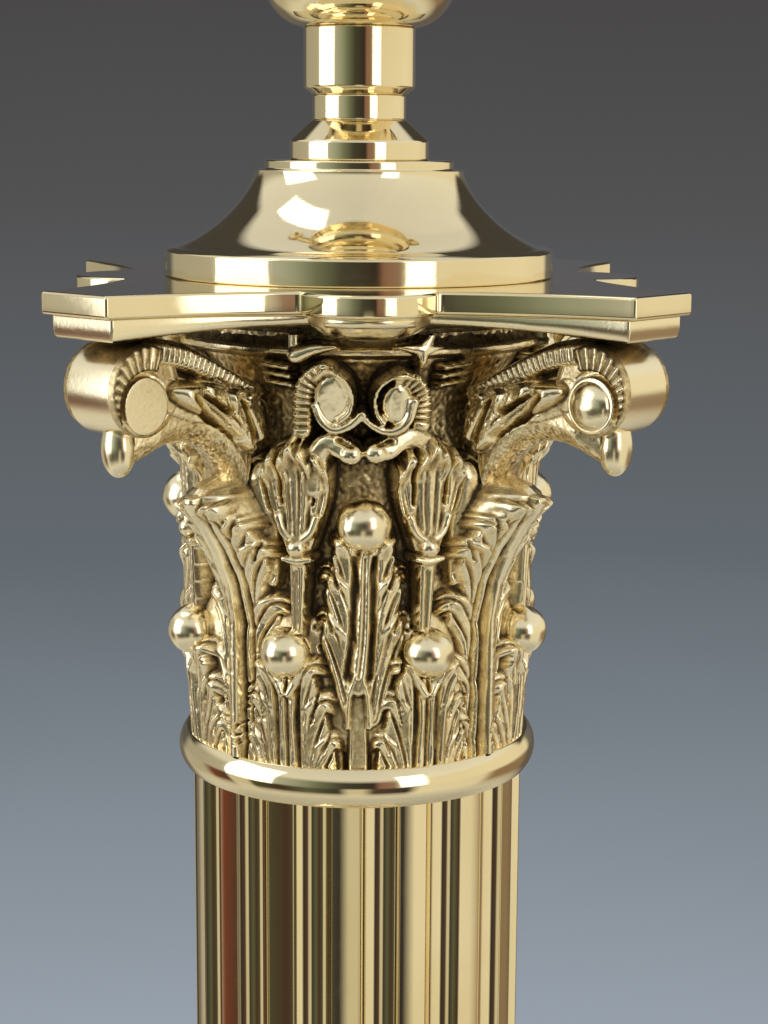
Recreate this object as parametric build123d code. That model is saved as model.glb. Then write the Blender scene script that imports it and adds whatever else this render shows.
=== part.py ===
from build123d import *
import os
from math import cos, pi, radians, sin, sqrt

# Column table lamp in brass. Millimetres, +Z up, origin on the table under the middle of the base.
# The front is towards -Y. Heights inside the capital are measured down from the top of its plate.

# ---- Base -------------------------------------------------------------------------------------
FELT_THICKNESS = 2.0
FELT_INSET = 2.0                  # felt edge in from the plinth edge
COVER_THICKNESS = 1.5
CAST_WALL = 3.0                   # wall of the hollow castings
COVER_GAP = 0.4                   # cover plate to plinth wall, each side
LOWER_TIER_SIDE = 150.0
LOWER_TIER_HEIGHT = 28.0
LOWER_TIER_EDGE = 19.0            # height of its upright face
UPPER_TIER_SIDE = 122.0
UPPER_TIER_HEIGHT = 18.0
UPPER_TIER_EDGE = 8.0
BLOCK_SIDE = 84.0                 # square block under the column base
BLOCK_HEIGHT = 9.0
TIER_LEDGE = 3.0                  # flat ledge that a tier leaves round the piece above
EDGE_BEVEL = 0.8
BALLAST_SIDE = 104.0
BALLAST_HEIGHT = 12.0
COVER_SCREW_RADIUS = 1.5
COVER_SCREW_HEAD_RADIUS = 2.9
COVER_SCREW_HEAD_HEIGHT = 0.9
COVER_SCREW_INSET = 9.0           # screw axis in from the cover plate edge
COVER_BOSS_RADIUS = 4.5
EARTH_SCREW_RADIUS = 1.5
EARTH_SCREW_LENGTH = 7.0
EARTH_SCREW_HEAD_RADIUS = 2.8
EARTH_TAG_RADIUS = 3.8
EARTH_TAG_THICKNESS = 0.8
EARTH_TAIL_LENGTH = 9.0

# ---- Cord inlet -------------------------------------------------------------------------------
INLET_BORE_RADIUS = 3.6
INLET_BARREL_RADIUS = 5.0
INLET_FLANGE_RADIUS = 7.0
INLET_FLANGE_THICKNESS = 2.0
INLET_BARREL_LENGTH = 11.0        # from the plinth's outer face inwards
INLET_NUT_RADIUS = 6.6
INLET_NUT_THICKNESS = 2.5

# ---- Column -----------------------------------------------------------------------------------
COLUMN_RADIUS = 26.0
COLUMN_BORE_RADIUS = 21.0
SHAFT_LENGTH = 250.0
FLUTE_COUNT = 16
FLUTE_ANGLE = 13.2                # degrees that one flute takes at the column's surface
FLUTE_DEPTH = 1.8
FILLET_PHASE = -6.0               # angle of one flat between flutes, from the front towards +X
BASE_TORUS_REACH = 39.5           # lower torus, from the axis
BASE_TORUS_HEIGHT = 9.0
BASE_UPPER_TORUS_REACH = 32.5
BASE_UPPER_TORUS_HEIGHT = 6.0
BASE_HOLLOW_RADIUS = 28.6         # narrowest part between the two torus rings
BASE_HOLLOW_HEIGHT = 8.0
BASE_FILLET_HEIGHT = 1.5
SPIGOT_HEIGHT = 4.0
FIT_GAP = 0.1                     # radial clearance of a spigot in its bore

# ---- Ring between shaft and capital -----------------------------------------------------------
RING_REACH = 28.2
RING_HEIGHT = 5.9
RING_EDGE_RADIUS = 27.0           # where its half-round edge starts

# ---- Tie tube and its nut ---------------------------------------------------------------------
TUBE_RADIUS = 5.0
TUBE_BORE_RADIUS = 3.5
TUBE_CLEARANCE = 0.2              # tube to the plates that it passes
THREAD_GAP = 0.05                 # tube to what is screwed on it
TUBE_TAIL = 0.8                   # tube end past its nut
NUT_ACROSS_FLATS = 17.0
NUT_HEIGHT = 6.0
WASHER_RADIUS = 14.0
WASHER_THICKNESS = 1.6

# ---- Capital ----------------------------------------------------------------------------------
PLATE_THICKNESS = 3.16
PLATE_CORNER_OUT = 44.7           # chamfer ends at (OUT, IN) and (IN, OUT) from the axis
PLATE_CORNER_IN = 35.2
PLATE_WAIST = 34.4                # nearest that the hollow sides come to the axis
TAB_RADIUS = 9.7                  # round tab in the middle of each side
TAB_REACH = 43.2
LAYER_INSET = 1.4                 # the casting's own plate inside the polished one
LAYER_THICKNESS = 3.3             # at its corners
LAYER_MIDDLE = 1.4                # and in the middle of its hollow sides
CAPITAL_HEIGHT = 70.6             # leaf foot below the plate's top
BELL_RADIUS = 23.6
BELL_LIP_OUT = 4.9                # lip's edge out from the bell
BELL_LIP_HEIGHT = 3.0
BELL_LIP_UNDERCUT = 1.5
BELL_LIP_DEPTH = 10.4             # lip's lower edge below the plate's top
BELL_BORE_RADIUS = 17.5
BELL_CROWN = 9.0                  # solid crown that closes the casting's bore
LEAF_FOOT_OUT = 3.3               # leaves and scrolls: reach out from the bell's radius
LOWER_LEAF_COUNT = 8
LOWER_LEAF_HALF_WIDTH = 8.6
LOWER_LEAF_TIP = 52.4
LOWER_LEAF_OUT = 5.8
LOWER_LEAF_BEND = 60.0
LOWER_TIER_TWIST = -2.5           # the lower leaves sit a little round from true
LOWER_BALL_RADIUS = 3.7
LOWER_BALL_OUT = 3.4
LOWER_BALL_DEPTH = 53.3
TALL_LEAF_HALF_WIDTH = 7.2
TALL_LEAF_TIP = 34.6
TALL_LEAF_OUT = 5.2
TALL_LEAF_BEND = 44.0
TALL_BALL_RADIUS = 4.05
TALL_BALL_OUT = 2.6
TALL_BALL_DEPTH = 34.2
CORNER_LEAF_HALF_WIDTH = 8.4
CORNER_LEAF_TIP = 30.2
CORNER_LEAF_OUT = 12.4
CORNER_LEAF_BEND = 50.0
CORNER_LEAF_THICKNESS = 3.4
LEAF_LOBES = 4
LEAF_NOTCH = 0.78                 # width at a notch as a share of the width beside it
MIDRIB_HALF_WIDTH = 1.1
MIDRIB_RISE = 0.9
STALK_ANGLE = 20.5                # stalks each side of a face's middle, degrees
STALK_OUT = 2.8
STALK_FOOT_DEPTH = 52.0
STALK_FOOT_RADIUS = 1.3
STALK_HEAD_DEPTH = 38.4
STALK_HEAD_RADIUS = 2.0
BEAD_RADIUS = 2.3
BEAD_DEPTH = 37.2
SHEATH_FOOT_DEPTH = 36.0
SHEATH_FOOT_RADIUS = 2.2
SHEATH_HEAD_DEPTH = 23.4
SHEATH_HEAD_RADIUS = 3.9
DRUM_RADIUS = 6.45                # corner scroll
DRUM_HALF_WIDTH = 4.7
DRUM_REACH = 54.3                 # along the diagonal
DRUM_DEPTH = 13.5
DRUM_EYE_RADIUS = 3.5
DRUM_RELIEF = 0.7
ARCH_APEX_IN = 8.85               # top of the arch under a corner scroll, in from the drum's axis
ARCH_APEX_DEPTH = 21.7
ARCH_FOOT_OUT = 5.2
ARCH_FOOT_DEPTH = 29.4
BRACKET_ROOT_HALF_WIDTH = 10.0
BRACKET_NECK_HALF_WIDTH = 4.2
BRACKET_NECK_IN = 5.85            # where the bracket is narrow, in from the drum's axis
TONGUE_OUT = 1.35                 # tongue's axis out from the drum's
TONGUE_DEPTH = 25.4
TONGUE_RADIUS = 1.9
HELIX_RADIUS = 3.4
HELIX_SPACING = 7.6
HELIX_DEPTH = 14.8
HELIX_OUT = 8.4
HELIX_TAIL_RADIUS = 1.7
HELIX_TAIL_DEPTH = 21.0
HELIX_TAIL_SPACING = 5.6
BOSS_RADIUS = 7.0                 # rounded boss under each tab
BOSS_HEIGHT = 3.0

# ---- Dome and neck, heights from the plate's top ----------------------------------------------
DOME_RIM_RADIUS = 29.7
DOME_RIM_HEIGHT = 3.9
DOME_SHOULDER_RADIUS = 15.9
DOME_SHOULDER_HEIGHT = 16.0
DOME_FLARE_RADIUS = 20.4          # a point on the dome's flared side
DOME_FLARE_HEIGHT = 9.0
DOME_WALL = 2.0
DOME_DISC_RADIUS = 14.4
DOME_DISC_HEIGHT = 1.36
FLANGE_RADIUS = 10.6
FLANGE_HEIGHT = 2.84
FLANGE_CONE_HEIGHT = 3.1
NECK_RING_RADIUS = 7.1
NECK_RING_HEIGHT = 3.75
COLLAR_RADIUS = 8.45
COLLAR_HEIGHT = 9.95
COLLAR_CHAMFER = 1.05

# ---- Lampholder, heights from the collar's top ------------------------------------------------
CAP_RADIUS = 14.75
CAP_FLAT_RADIUS = 7.9
CAP_DOME_HEIGHT = 8.1
CAP_HEIGHT = 18.0
SHELL_WALL = 0.9
ENTRY_BOSS_RADIUS = 7.4
ENTRY_BOSS_HEIGHT = 6.0
BAR_HEIGHT = 10.5                 # switch bar's axis
BAR_RADIUS = 2.3
BAR_KNOB_RADIUS = 3.6
BAR_KNOB_LENGTH = 3.0
BAR_TRAVEL = 5.0
BAR_KNOB_GAP = 0.6                # knob to cap at the end of its travel
RUNNING_GAP = 0.05                # radial clearance of what slides
CORE_FOOT = 7.5
CORE_SHOULDER = 23.0
CORE_TOP = 25.0
SKIRT_RADIUS = 14.0
SKIRT_BORE_RADIUS = 13.2
SKIRT_TOP = 41.5
SKIRT_THREAD_LENGTH = 5.0         # screwed into the cap
SHOULDER_RADIUS = 17.5
SHOULDER_THICKNESS = 2.0
SKIRT_BEAD_RADIUS = 15.4
SKIRT_BEAD_HEIGHT = 2.0
BARREL_BORE_RADIUS = 11.2         # takes a 22 mm bayonet cap
BARREL_FOOT_RADIUS = 10.6         # bore below the seat, round the core
BARREL_WALL = 0.8
BARREL_SLOT_WIDTH = 2.8
BARREL_SLOT_DEPTH = 9.0
BARREL_SLOT_TURN = 25.0           # degrees that the slot runs round
BARREL_SLOT_RETURN = 1.6
SHADE_RING_REACH = 19.5
SHADE_RING_THICKNESS = 2.2
SHADE_RING_HUB_RADIUS = 16.4
SHADE_RING_HEIGHT = 5.0
PLUNGER_RADIUS = 1.95
PLUNGER_SPACING = 9.6
PLUNGER_FOOT = 20.0
PLUNGER_TIP = 29.0
PLUNGER_BORE_FOOT = 14.0
SPRING_WALL = 0.45
TERMINAL_OFFSET = 8.6
TERMINAL_SIDE = 5.0
TERMINAL_HEIGHT = 6.0
TERMINAL_SCREW_RADIUS = 1.3
TERMINAL_SCREW_LENGTH = 3.6
TERMINAL_WIRE_RADIUS = 1.1

# ---- Heights and radii that follow from the sizes ---------------------------------------------
Z_PLINTH = FELT_THICKNESS
Z_UPPER_TIER = Z_PLINTH + LOWER_TIER_HEIGHT
Z_BLOCK = Z_UPPER_TIER + UPPER_TIER_HEIGHT
Z_COLUMN_BASE = Z_BLOCK + BLOCK_HEIGHT
COLUMN_BASE_HEIGHT = (BASE_TORUS_HEIGHT + BASE_HOLLOW_HEIGHT + BASE_UPPER_TORUS_HEIGHT
                      + 2 * BASE_FILLET_HEIGHT)
Z_SHAFT = Z_COLUMN_BASE + COLUMN_BASE_HEIGHT
Z_RING = Z_SHAFT + SHAFT_LENGTH
Z_CAPITAL = Z_RING + RING_HEIGHT
Z_PLATE_TOP = Z_CAPITAL + CAPITAL_HEIGHT
Z_PLATE = Z_PLATE_TOP - PLATE_THICKNESS
Z_DOME_TOP = Z_PLATE_TOP + DOME_SHOULDER_HEIGHT + DOME_DISC_HEIGHT
Z_NECK_RING = Z_DOME_TOP + FLANGE_HEIGHT + FLANGE_CONE_HEIGHT
Z_COLLAR = Z_NECK_RING + NECK_RING_HEIGHT
Z_CAP = Z_COLLAR + COLLAR_HEIGHT
Z_SEAT = Z_CAP + PLUNGER_TIP + FIT_GAP
Z_BALLAST = Z_UPPER_TIER - CAST_WALL - BALLAST_HEIGHT
Z_WASHER = Z_BALLAST - WASHER_THICKNESS
Z_NUT = Z_WASHER - NUT_HEIGHT
Z_TUBE_END = Z_NUT - TUBE_TAIL
Z_INLET = Z_PLINTH + (COVER_THICKNESS + LOWER_TIER_EDGE - CAST_WALL) / 2
BELL_LIP_RADIUS = BELL_RADIUS + BELL_LIP_OUT
LEAF_FOOT_RADIUS = BELL_RADIUS + LEAF_FOOT_OUT
STALK_OFFSET = BELL_RADIUS + STALK_OUT
LOWER_LEDGE = UPPER_TIER_SIDE / 2 + TIER_LEDGE
UPPER_LEDGE = BLOCK_SIDE / 2 + TIER_LEDGE
EARTH_OFFSET = (BALLAST_SIDE / 2 + LOWER_LEDGE - CAST_WALL) / 2
TUBE_HOLE_RADIUS = TUBE_RADIUS + TUBE_CLEARANCE
SCREWED_HOLE_RADIUS = TUBE_RADIUS + THREAD_GAP


# ---- Shared shapes ----------------------------------------------------------------------------
def outline(start, *moves):
    """Closed face. A move is a point for a line, or a pair of points for an arc through the first."""
    edges = []
    here = start
    for move in moves:
        if isinstance(move[0], tuple):
            there = move[1]
            edges.append(ThreePointArc(here, move[0], there))
        else:
            there = move
            edges.append(Line(here, there))
        here = there
    if here != start:
        edges.append(Line(here, start))
    return make_face(edges)


def turned(start, *moves):
    """Solid of revolution from an outline in (radius, height)."""
    return revolve(Plane.XZ * outline(start, *moves), Axis.Z)


def tube(outer, bore, bottom, top):
    """Plain ring or tube about the lamp's axis."""
    ring = Circle(outer) - Circle(bore)
    return extrude(Pos(0, 0, bottom) * ring, amount=top - bottom)


def rod(radius, bottom, top, x=0.0, y=0.0):
    """Upright solid cylinder."""
    return extrude(Pos(x, y, bottom) * Circle(radius), amount=top - bottom)


def slab(side, bottom, top):
    """Upright square block about the lamp's axis."""
    return extrude(Pos(0, 0, bottom) * Rectangle(side, side), amount=top - bottom)


def square_moulding(side, start, *moves):
    """Mitred square solid whose four sides show one half outline in (out from the axis, height)."""
    half = outline(start, *moves)
    section = half + mirror(half, about=Plane.YZ)
    across = extrude(Plane.XZ * section, amount=side, both=True)
    along = extrude(Plane.YZ * section, amount=side, both=True)
    return across & along


def facing(angle, shape):
    """The shape turned from the front towards +X."""
    return Rot(0, 0, angle) * shape


def around(count, shape, first=0.0):
    """Copies of a shape, evenly spaced about the axis."""
    return [facing(first + turn * 360 / count, shape) for turn in range(count)]


def out_of_axis(reach, height):
    """Point in front of the axis."""
    return (0, -reach, height)


# ---- Base pieces ------------------------------------------------------------------------------
def cover_screw_places():
    """The four screw axes in the cover plate."""
    corner = LOWER_TIER_SIDE / 2 - CAST_WALL - COVER_GAP - COVER_SCREW_INSET
    return [(x, y) for x in (-corner, corner) for y in (-corner, corner)]


def felt_pad():
    side = LOWER_TIER_SIDE - 2 * FELT_INSET
    return slab(side, 0, FELT_THICKNESS)


def cover_plate():
    side = LOWER_TIER_SIDE - 2 * (CAST_WALL + COVER_GAP)
    plate = slab(side, Z_PLINTH, Z_PLINTH + COVER_THICKNESS)
    for x, y in cover_screw_places():
        plate -= rod(COVER_SCREW_RADIUS, Z_PLINTH, Z_PLINTH + COVER_THICKNESS, x, y)
        plate -= rod(COVER_SCREW_HEAD_RADIUS, Z_PLINTH, Z_PLINTH + COVER_SCREW_HEAD_HEIGHT, x, y)
    return plate


def cover_screws():
    screws = []
    for x, y in cover_screw_places():
        head = rod(COVER_SCREW_HEAD_RADIUS, Z_PLINTH, Z_PLINTH + COVER_SCREW_HEAD_HEIGHT, x, y)
        screws.append(head + rod(COVER_SCREW_RADIUS, Z_PLINTH, Z_PLINTH + 3 * COVER_THICKNESS, x, y))
    return Compound(children=screws)


def stepped_tier(side, bottom, edge, top, ledge):
    """Square tier: an upright face, a bevel, then a hollow moulding up to the ledge."""
    out = side / 2
    step = out - EDGE_BEVEL - ledge
    hollow = (ledge + step * (1 - cos(pi / 4)), edge + (top - edge) * (1 - sin(pi / 4)))
    return square_moulding(
        side, (0, bottom), (out, bottom), (out, edge - EDGE_BEVEL), (out - EDGE_BEVEL, edge),
        (hollow, (ledge, top)), (0, top))


def plinth_lower_tier():
    top = Z_UPPER_TIER
    edge = Z_PLINTH + LOWER_TIER_EDGE
    block = stepped_tier(LOWER_TIER_SIDE, Z_PLINTH, edge, top, LOWER_LEDGE)
    body = block - slab(LOWER_TIER_SIDE - 2 * CAST_WALL, Z_PLINTH, edge - CAST_WALL)
    body -= slab(2 * (LOWER_LEDGE - CAST_WALL), edge - CAST_WALL, top - CAST_WALL)
    body -= rod(TUBE_HOLE_RADIUS, top - CAST_WALL, top)
    body -= extrude(inlet_plane(CAST_WALL) * Circle(INLET_BARREL_RADIUS), amount=CAST_WALL)
    for x, y in cover_screw_places():
        boss = block & rod(COVER_BOSS_RADIUS, Z_PLINTH + COVER_THICKNESS, top - CAST_WALL / 2, x, y)
        body += boss - rod(COVER_SCREW_RADIUS, Z_PLINTH, Z_PLINTH + 3 * COVER_THICKNESS, x, y)
    return body - rod(EARTH_SCREW_RADIUS, top - CAST_WALL, top - CAST_WALL / 3, x=-EARTH_OFFSET)


def plinth_upper_tier():
    top = Z_BLOCK
    edge = Z_UPPER_TIER + UPPER_TIER_EDGE
    body = stepped_tier(UPPER_TIER_SIDE, Z_UPPER_TIER, edge, top, UPPER_LEDGE)
    body -= slab(2 * (UPPER_LEDGE - CAST_WALL), Z_UPPER_TIER, top - CAST_WALL)
    return body - rod(TUBE_HOLE_RADIUS, top - CAST_WALL, top)


def base_block():
    out = BLOCK_SIDE / 2
    body = square_moulding(
        BLOCK_SIDE, (0, Z_BLOCK), (out, Z_BLOCK), (out, Z_COLUMN_BASE - EDGE_BEVEL),
        (out - EDGE_BEVEL, Z_COLUMN_BASE), (0, Z_COLUMN_BASE))
    body -= slab(2 * (out - CAST_WALL), Z_BLOCK, Z_COLUMN_BASE - CAST_WALL)
    return body - rod(TUBE_HOLE_RADIUS, Z_COLUMN_BASE - CAST_WALL, Z_COLUMN_BASE)


def ballast_weight():
    body = slab(BALLAST_SIDE, Z_BALLAST, Z_BALLAST + BALLAST_HEIGHT)
    return body - rod(TUBE_HOLE_RADIUS, Z_BALLAST, Z_BALLAST + BALLAST_HEIGHT)


def earth_tag():
    """Flat ring terminal with its crimp tail, under the plinth's top wall."""
    top = Z_UPPER_TIER - CAST_WALL
    ring = Circle(EARTH_TAG_RADIUS) - Circle(EARTH_SCREW_RADIUS)
    tail = Pos(0, EARTH_TAIL_LENGTH / 2) * Rectangle(EARTH_TAG_RADIUS, EARTH_TAIL_LENGTH)
    shape = ring + (tail - Circle(EARTH_TAG_RADIUS))
    return extrude(Pos(-EARTH_OFFSET, 0, top) * shape, amount=-EARTH_TAG_THICKNESS)


def earth_screw():
    top = Z_UPPER_TIER - CAST_WALL / 3
    under = Z_UPPER_TIER - CAST_WALL - EARTH_TAG_THICKNESS
    head = rod(EARTH_SCREW_HEAD_RADIUS, top - EARTH_SCREW_LENGTH, under, x=-EARTH_OFFSET)
    return head + rod(EARTH_SCREW_RADIUS, top - EARTH_SCREW_LENGTH, top, x=-EARTH_OFFSET)


def inlet_plane(depth):
    """Plane across the cord inlet, a given depth in from the plinth's back face, facing out."""
    return Plane((0, LOWER_TIER_SIDE / 2 - depth, Z_INLET), z_dir=(0, 1, 0))


def inlet_bush():
    flange = extrude(inlet_plane(0) * Circle(INLET_FLANGE_RADIUS), amount=INLET_FLANGE_THICKNESS)
    flange = fillet(flange.edges().sort_by(Axis.Y)[-1], INLET_FLANGE_THICKNESS / 2)
    barrel = extrude(inlet_plane(INLET_BARREL_LENGTH) * Circle(INLET_BARREL_RADIUS),
                     amount=INLET_BARREL_LENGTH)
    length = INLET_BARREL_LENGTH + INLET_FLANGE_THICKNESS
    bore = extrude(inlet_plane(INLET_BARREL_LENGTH) * Circle(INLET_BORE_RADIUS), amount=length)
    return flange + barrel - bore


def inlet_nut():
    depth = CAST_WALL + INLET_NUT_THICKNESS
    ring = RegularPolygon(INLET_NUT_RADIUS, 6) - Circle(INLET_BARREL_RADIUS)
    return extrude(inlet_plane(depth) * ring, amount=INLET_NUT_THICKNESS)


# ---- Tie tube ---------------------------------------------------------------------------------
def tie_tube():
    return tube(TUBE_RADIUS, TUBE_BORE_RADIUS, Z_TUBE_END, Z_CAP + ENTRY_BOSS_HEIGHT)


def tie_washer():
    return tube(WASHER_RADIUS, TUBE_HOLE_RADIUS, Z_WASHER, Z_BALLAST)


def tie_nut():
    section = RegularPolygon(NUT_ACROSS_FLATS / 2, 6, major_radius=False)
    section -= Circle(SCREWED_HOLE_RADIUS)
    return extrude(Pos(0, 0, Z_NUT) * section, amount=NUT_HEIGHT)


# ---- Column -----------------------------------------------------------------------------------
def column_base():
    """Turned base of the column: torus, hollow and smaller torus between narrow fillets."""
    z0 = Z_COLUMN_BASE
    z1 = z0 + BASE_TORUS_HEIGHT
    z2 = z1 + BASE_FILLET_HEIGHT
    z3 = z2 + BASE_HOLLOW_HEIGHT
    z4 = z3 + BASE_FILLET_HEIGHT
    z5 = z4 + BASE_UPPER_TORUS_HEIGHT
    lower = BASE_TORUS_REACH - BASE_TORUS_HEIGHT / 2
    upper = BASE_UPPER_TORUS_REACH - BASE_UPPER_TORUS_HEIGHT / 2
    spigot = COLUMN_BORE_RADIUS - FIT_GAP
    body = turned(
        (TUBE_HOLE_RADIUS, z0), (lower, z0),
        ((BASE_TORUS_REACH, (z0 + z1) / 2), (lower, z1)), (lower, z2),
        ((BASE_HOLLOW_RADIUS, z2 + BASE_HOLLOW_HEIGHT * 0.6), (upper, z3)), (upper, z4),
        ((BASE_UPPER_TORUS_REACH, (z4 + z5) / 2), (upper, z5)),
        (spigot, z5), (spigot, z5 + SPIGOT_HEIGHT), (TUBE_HOLE_RADIUS, z5 + SPIGOT_HEIGHT))
    hollow = BASE_HOLLOW_RADIUS - 2 * CAST_WALL
    return body - tube(hollow - CAST_WALL, TUBE_HOLE_RADIUS + CAST_WALL, z0, z5 - CAST_WALL)


def column_shaft():
    half = radians(FLUTE_ANGLE / 2)
    chord = COLUMN_RADIUS * sin(half)
    cutter = (chord ** 2 + FLUTE_DEPTH ** 2) / (2 * FLUTE_DEPTH)
    centre = COLUMN_RADIUS * cos(half) - FLUTE_DEPTH + cutter
    section = Circle(COLUMN_RADIUS) - Circle(COLUMN_BORE_RADIUS)
    first = FILLET_PHASE + 180 / FLUTE_COUNT
    for turn in range(FLUTE_COUNT):
        angle = first + turn * 360 / FLUTE_COUNT
        section -= Rot(0, 0, angle) * Pos(0, -centre) * Circle(cutter)
    return extrude(Pos(0, 0, Z_SHAFT) * section, amount=SHAFT_LENGTH)


def astragal_ring():
    """Half-round ring with a spigot down into the shaft and one up into the capital."""
    middle = Z_RING + RING_HEIGHT / 2
    below = COLUMN_BORE_RADIUS - FIT_GAP
    above = BELL_BORE_RADIUS - FIT_GAP
    return turned(
        (TUBE_HOLE_RADIUS, Z_RING - SPIGOT_HEIGHT), (below, Z_RING - SPIGOT_HEIGHT), (below, Z_RING),
        (RING_EDGE_RADIUS, Z_RING), ((RING_REACH, middle), (RING_EDGE_RADIUS, Z_CAPITAL)),
        (above, Z_CAPITAL), (above, Z_CAPITAL + SPIGOT_HEIGHT),
        (TUBE_HOLE_RADIUS, Z_CAPITAL + SPIGOT_HEIGHT))


# ---- Plate ------------------------------------------------------------------------------------
def plate_face(inset):
    """The plate's outline: four hollow sides with a round tab each, and four cut corners."""
    out = PLATE_CORNER_OUT - inset
    into = PLATE_CORNER_IN - inset * (sqrt(2) - 1)
    waist = PLATE_WAIST - inset
    edges = []
    for turn in range(4):
        edges.append(Rot(0, 0, 90 * turn) * Line((-out, -into), (-into, -out)))
        edges.append(Rot(0, 0, 90 * turn) * ThreePointArc((-into, -out), (0, -waist), (into, -out)))
    face = make_face(edges)
    for tab in around(4, Pos(0, TAB_RADIUS - TAB_REACH) * Circle(TAB_RADIUS - inset)):
        face += tab
    return face


def abacus_plate():
    face = plate_face(0) - Circle(TUBE_HOLE_RADIUS)
    return extrude(Pos(0, 0, Z_PLATE) * face, amount=PLATE_THICKNESS)


# ---- Capital ----------------------------------------------------------------------------------
def at_depth(depth):
    """Height of a level given by its depth below the plate's top."""
    return Z_PLATE_TOP - depth


def casting_plate():
    """The casting's own plate, thinner in the middle of each side."""
    low = Z_PLATE - LAYER_THICKNESS
    plate = extrude(Pos(0, 0, low) * plate_face(LAYER_INSET), amount=LAYER_THICKNESS)
    sag = LAYER_THICKNESS - LAYER_MIDDLE
    radius = (PLATE_CORNER_IN ** 2 + sag ** 2) / (2 * sag)
    centre = Z_PLATE - LAYER_MIDDLE - radius
    for plane in (Plane.XZ, Plane.YZ):
        disc = plane * Pos(0, centre) * Circle(radius)
        plate -= extrude(disc, amount=PLATE_CORNER_OUT, both=True)
    return plate


def bell():
    """Core of the casting, under its leaves."""
    foot = Z_CAPITAL
    lip = at_depth(BELL_LIP_DEPTH)
    top = Z_PLATE - LAYER_MIDDLE / 2
    under = BELL_LIP_RADIUS - BELL_LIP_UNDERCUT
    flare = lip - 2 * BELL_LIP_HEIGHT
    return turned(
        (0, foot), (BELL_RADIUS, foot), (BELL_RADIUS, flare - CAST_WALL),
        ((BELL_RADIUS + (under - BELL_RADIUS) / 4, flare), (under, lip)),
        (BELL_LIP_RADIUS, lip), (BELL_LIP_RADIUS, lip + BELL_LIP_HEIGHT),
        (BELL_LIP_RADIUS, top), (0, top))


def leaf_half_width(full, share):
    """Width of a leaf's half at a share of its height: narrow foot, full middle, pointed tip."""
    if share < 0.5:
        return full * (0.72 + 0.28 * sin(pi * share))
    return full * (0.38 + 0.62 * cos(pi * (share - 0.5)))


def leaf_face(full, foot, tip):
    """A leaf's toothed outline in (across, height)."""
    right = [(full * 0.7, foot)]
    for lobe in range(LEAF_LOBES):
        crest = (lobe + 0.7) / LEAF_LOBES
        notch = (lobe + 0.85) / LEAF_LOBES
        right.append((leaf_half_width(full, crest), foot + (tip - foot) * crest))
        right.append((leaf_half_width(full, notch) * LEAF_NOTCH, foot + (tip - foot) * notch))
    left = [(-across, height) for across, height in reversed(right)]
    return make_face(Polyline(*right, (0, tip), *left, close=True))


def leaf(full, tip_depth, tip_out, bend_depth, thickness):
    """Leaf on the bell: its outline, cut from a curled sheet, with a raised rib up its middle."""
    foot = Z_CAPITAL
    tip = at_depth(tip_depth)
    bend = at_depth(bend_depth)
    root = BELL_RADIUS - 1
    blade = None
    for half, rise in ((full, 0.0), (MIDRIB_HALF_WIDTH, MIDRIB_RISE)):
        out = LEAF_FOOT_RADIUS + rise - MIDRIB_RISE
        end = BELL_RADIUS + tip_out + rise - MIDRIB_RISE
        sheet = outline(
            (root, foot), (out, foot), (out, bend),
            ((out + (end - out) * 0.3, bend + (tip - bend) * 0.56), (end, tip - thickness / 3)),
            (end - thickness / 3, tip),
            (end - thickness, tip),
            ((root + (end - thickness - root) * 0.28, bend + (tip - bend) * 0.5), (root, bend)))
        curl = revolve(Plane.XZ * sheet, Axis.Z, revolution_arc=90)
        curl = Rot(0, 0, -135) * curl
        if rise:
            face = make_face(Polyline((-half, foot), (half, foot), (half, tip), (-half, tip), close=True))
        else:
            face = leaf_face(half, foot, tip)
        piece = extrude(Plane.XZ * face, amount=2 * LEAF_FOOT_RADIUS) & curl
        blade = piece if blade is None else blade + piece
    return blade


def ball(radius, offset, depth):
    return Pos(*out_of_axis(offset, at_depth(depth))) * Sphere(radius)


def cone(foot_radius, head_radius, foot_depth, head_depth, offset):
    """Upright cone in front of the axis."""
    height = foot_depth - head_depth
    middle = at_depth(foot_depth) + height / 2
    return Pos(*out_of_axis(offset, middle)) * Cone(foot_radius, head_radius, height)


def stalk():
    """Ringed stalk with the leafy sheath that the scrolls grow from."""
    stem = cone(STALK_FOOT_RADIUS, STALK_HEAD_RADIUS, STALK_FOOT_DEPTH, STALK_HEAD_DEPTH, STALK_OFFSET)
    neck = cone(STALK_HEAD_RADIUS, SHEATH_FOOT_RADIUS, STALK_HEAD_DEPTH, SHEATH_FOOT_DEPTH, STALK_OFFSET)
    sheath = cone(SHEATH_FOOT_RADIUS, SHEATH_HEAD_RADIUS, SHEATH_FOOT_DEPTH, SHEATH_HEAD_DEPTH, STALK_OFFSET)
    return stem + neck + ball(BEAD_RADIUS, STALK_OFFSET, BEAD_DEPTH) + sheath


def across_front(half_width, face):
    """Solid that runs across the front from a face in (out from the axis, height)."""
    section = Plane((0, 0, 0), x_dir=(0, -1, 0), z_dir=(-1, 0, 0)) * face
    return extrude(section, amount=half_width, both=True)


def scroll_spiral(drum_out):
    """Raised spiral band on a drum's end, winding in from its rim to its eye."""
    band = (DRUM_RADIUS - DRUM_EYE_RADIUS) * 0.55
    radii = [DRUM_RADIUS, DRUM_RADIUS * 0.86, DRUM_RADIUS * 0.72]
    level = at_depth(DRUM_DEPTH)
    centre = drum_out
    face = outline(
        (centre - radii[0], level), ((centre, level + radii[0]), (centre + radii[0], level)),
        ((centre + radii[0] - radii[1], level - radii[1]), (centre + radii[0] - 2 * radii[1], level)),
        (centre + radii[0] - 2 * radii[1] + band, level),
        ((centre + radii[0] - radii[1], level - radii[1] + band), (centre + radii[0] - band, level)),
        ((centre, level + radii[0] - band), (centre - radii[0] + band, level)))
    return across_front(DRUM_HALF_WIDTH + DRUM_RELIEF, face)


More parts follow.
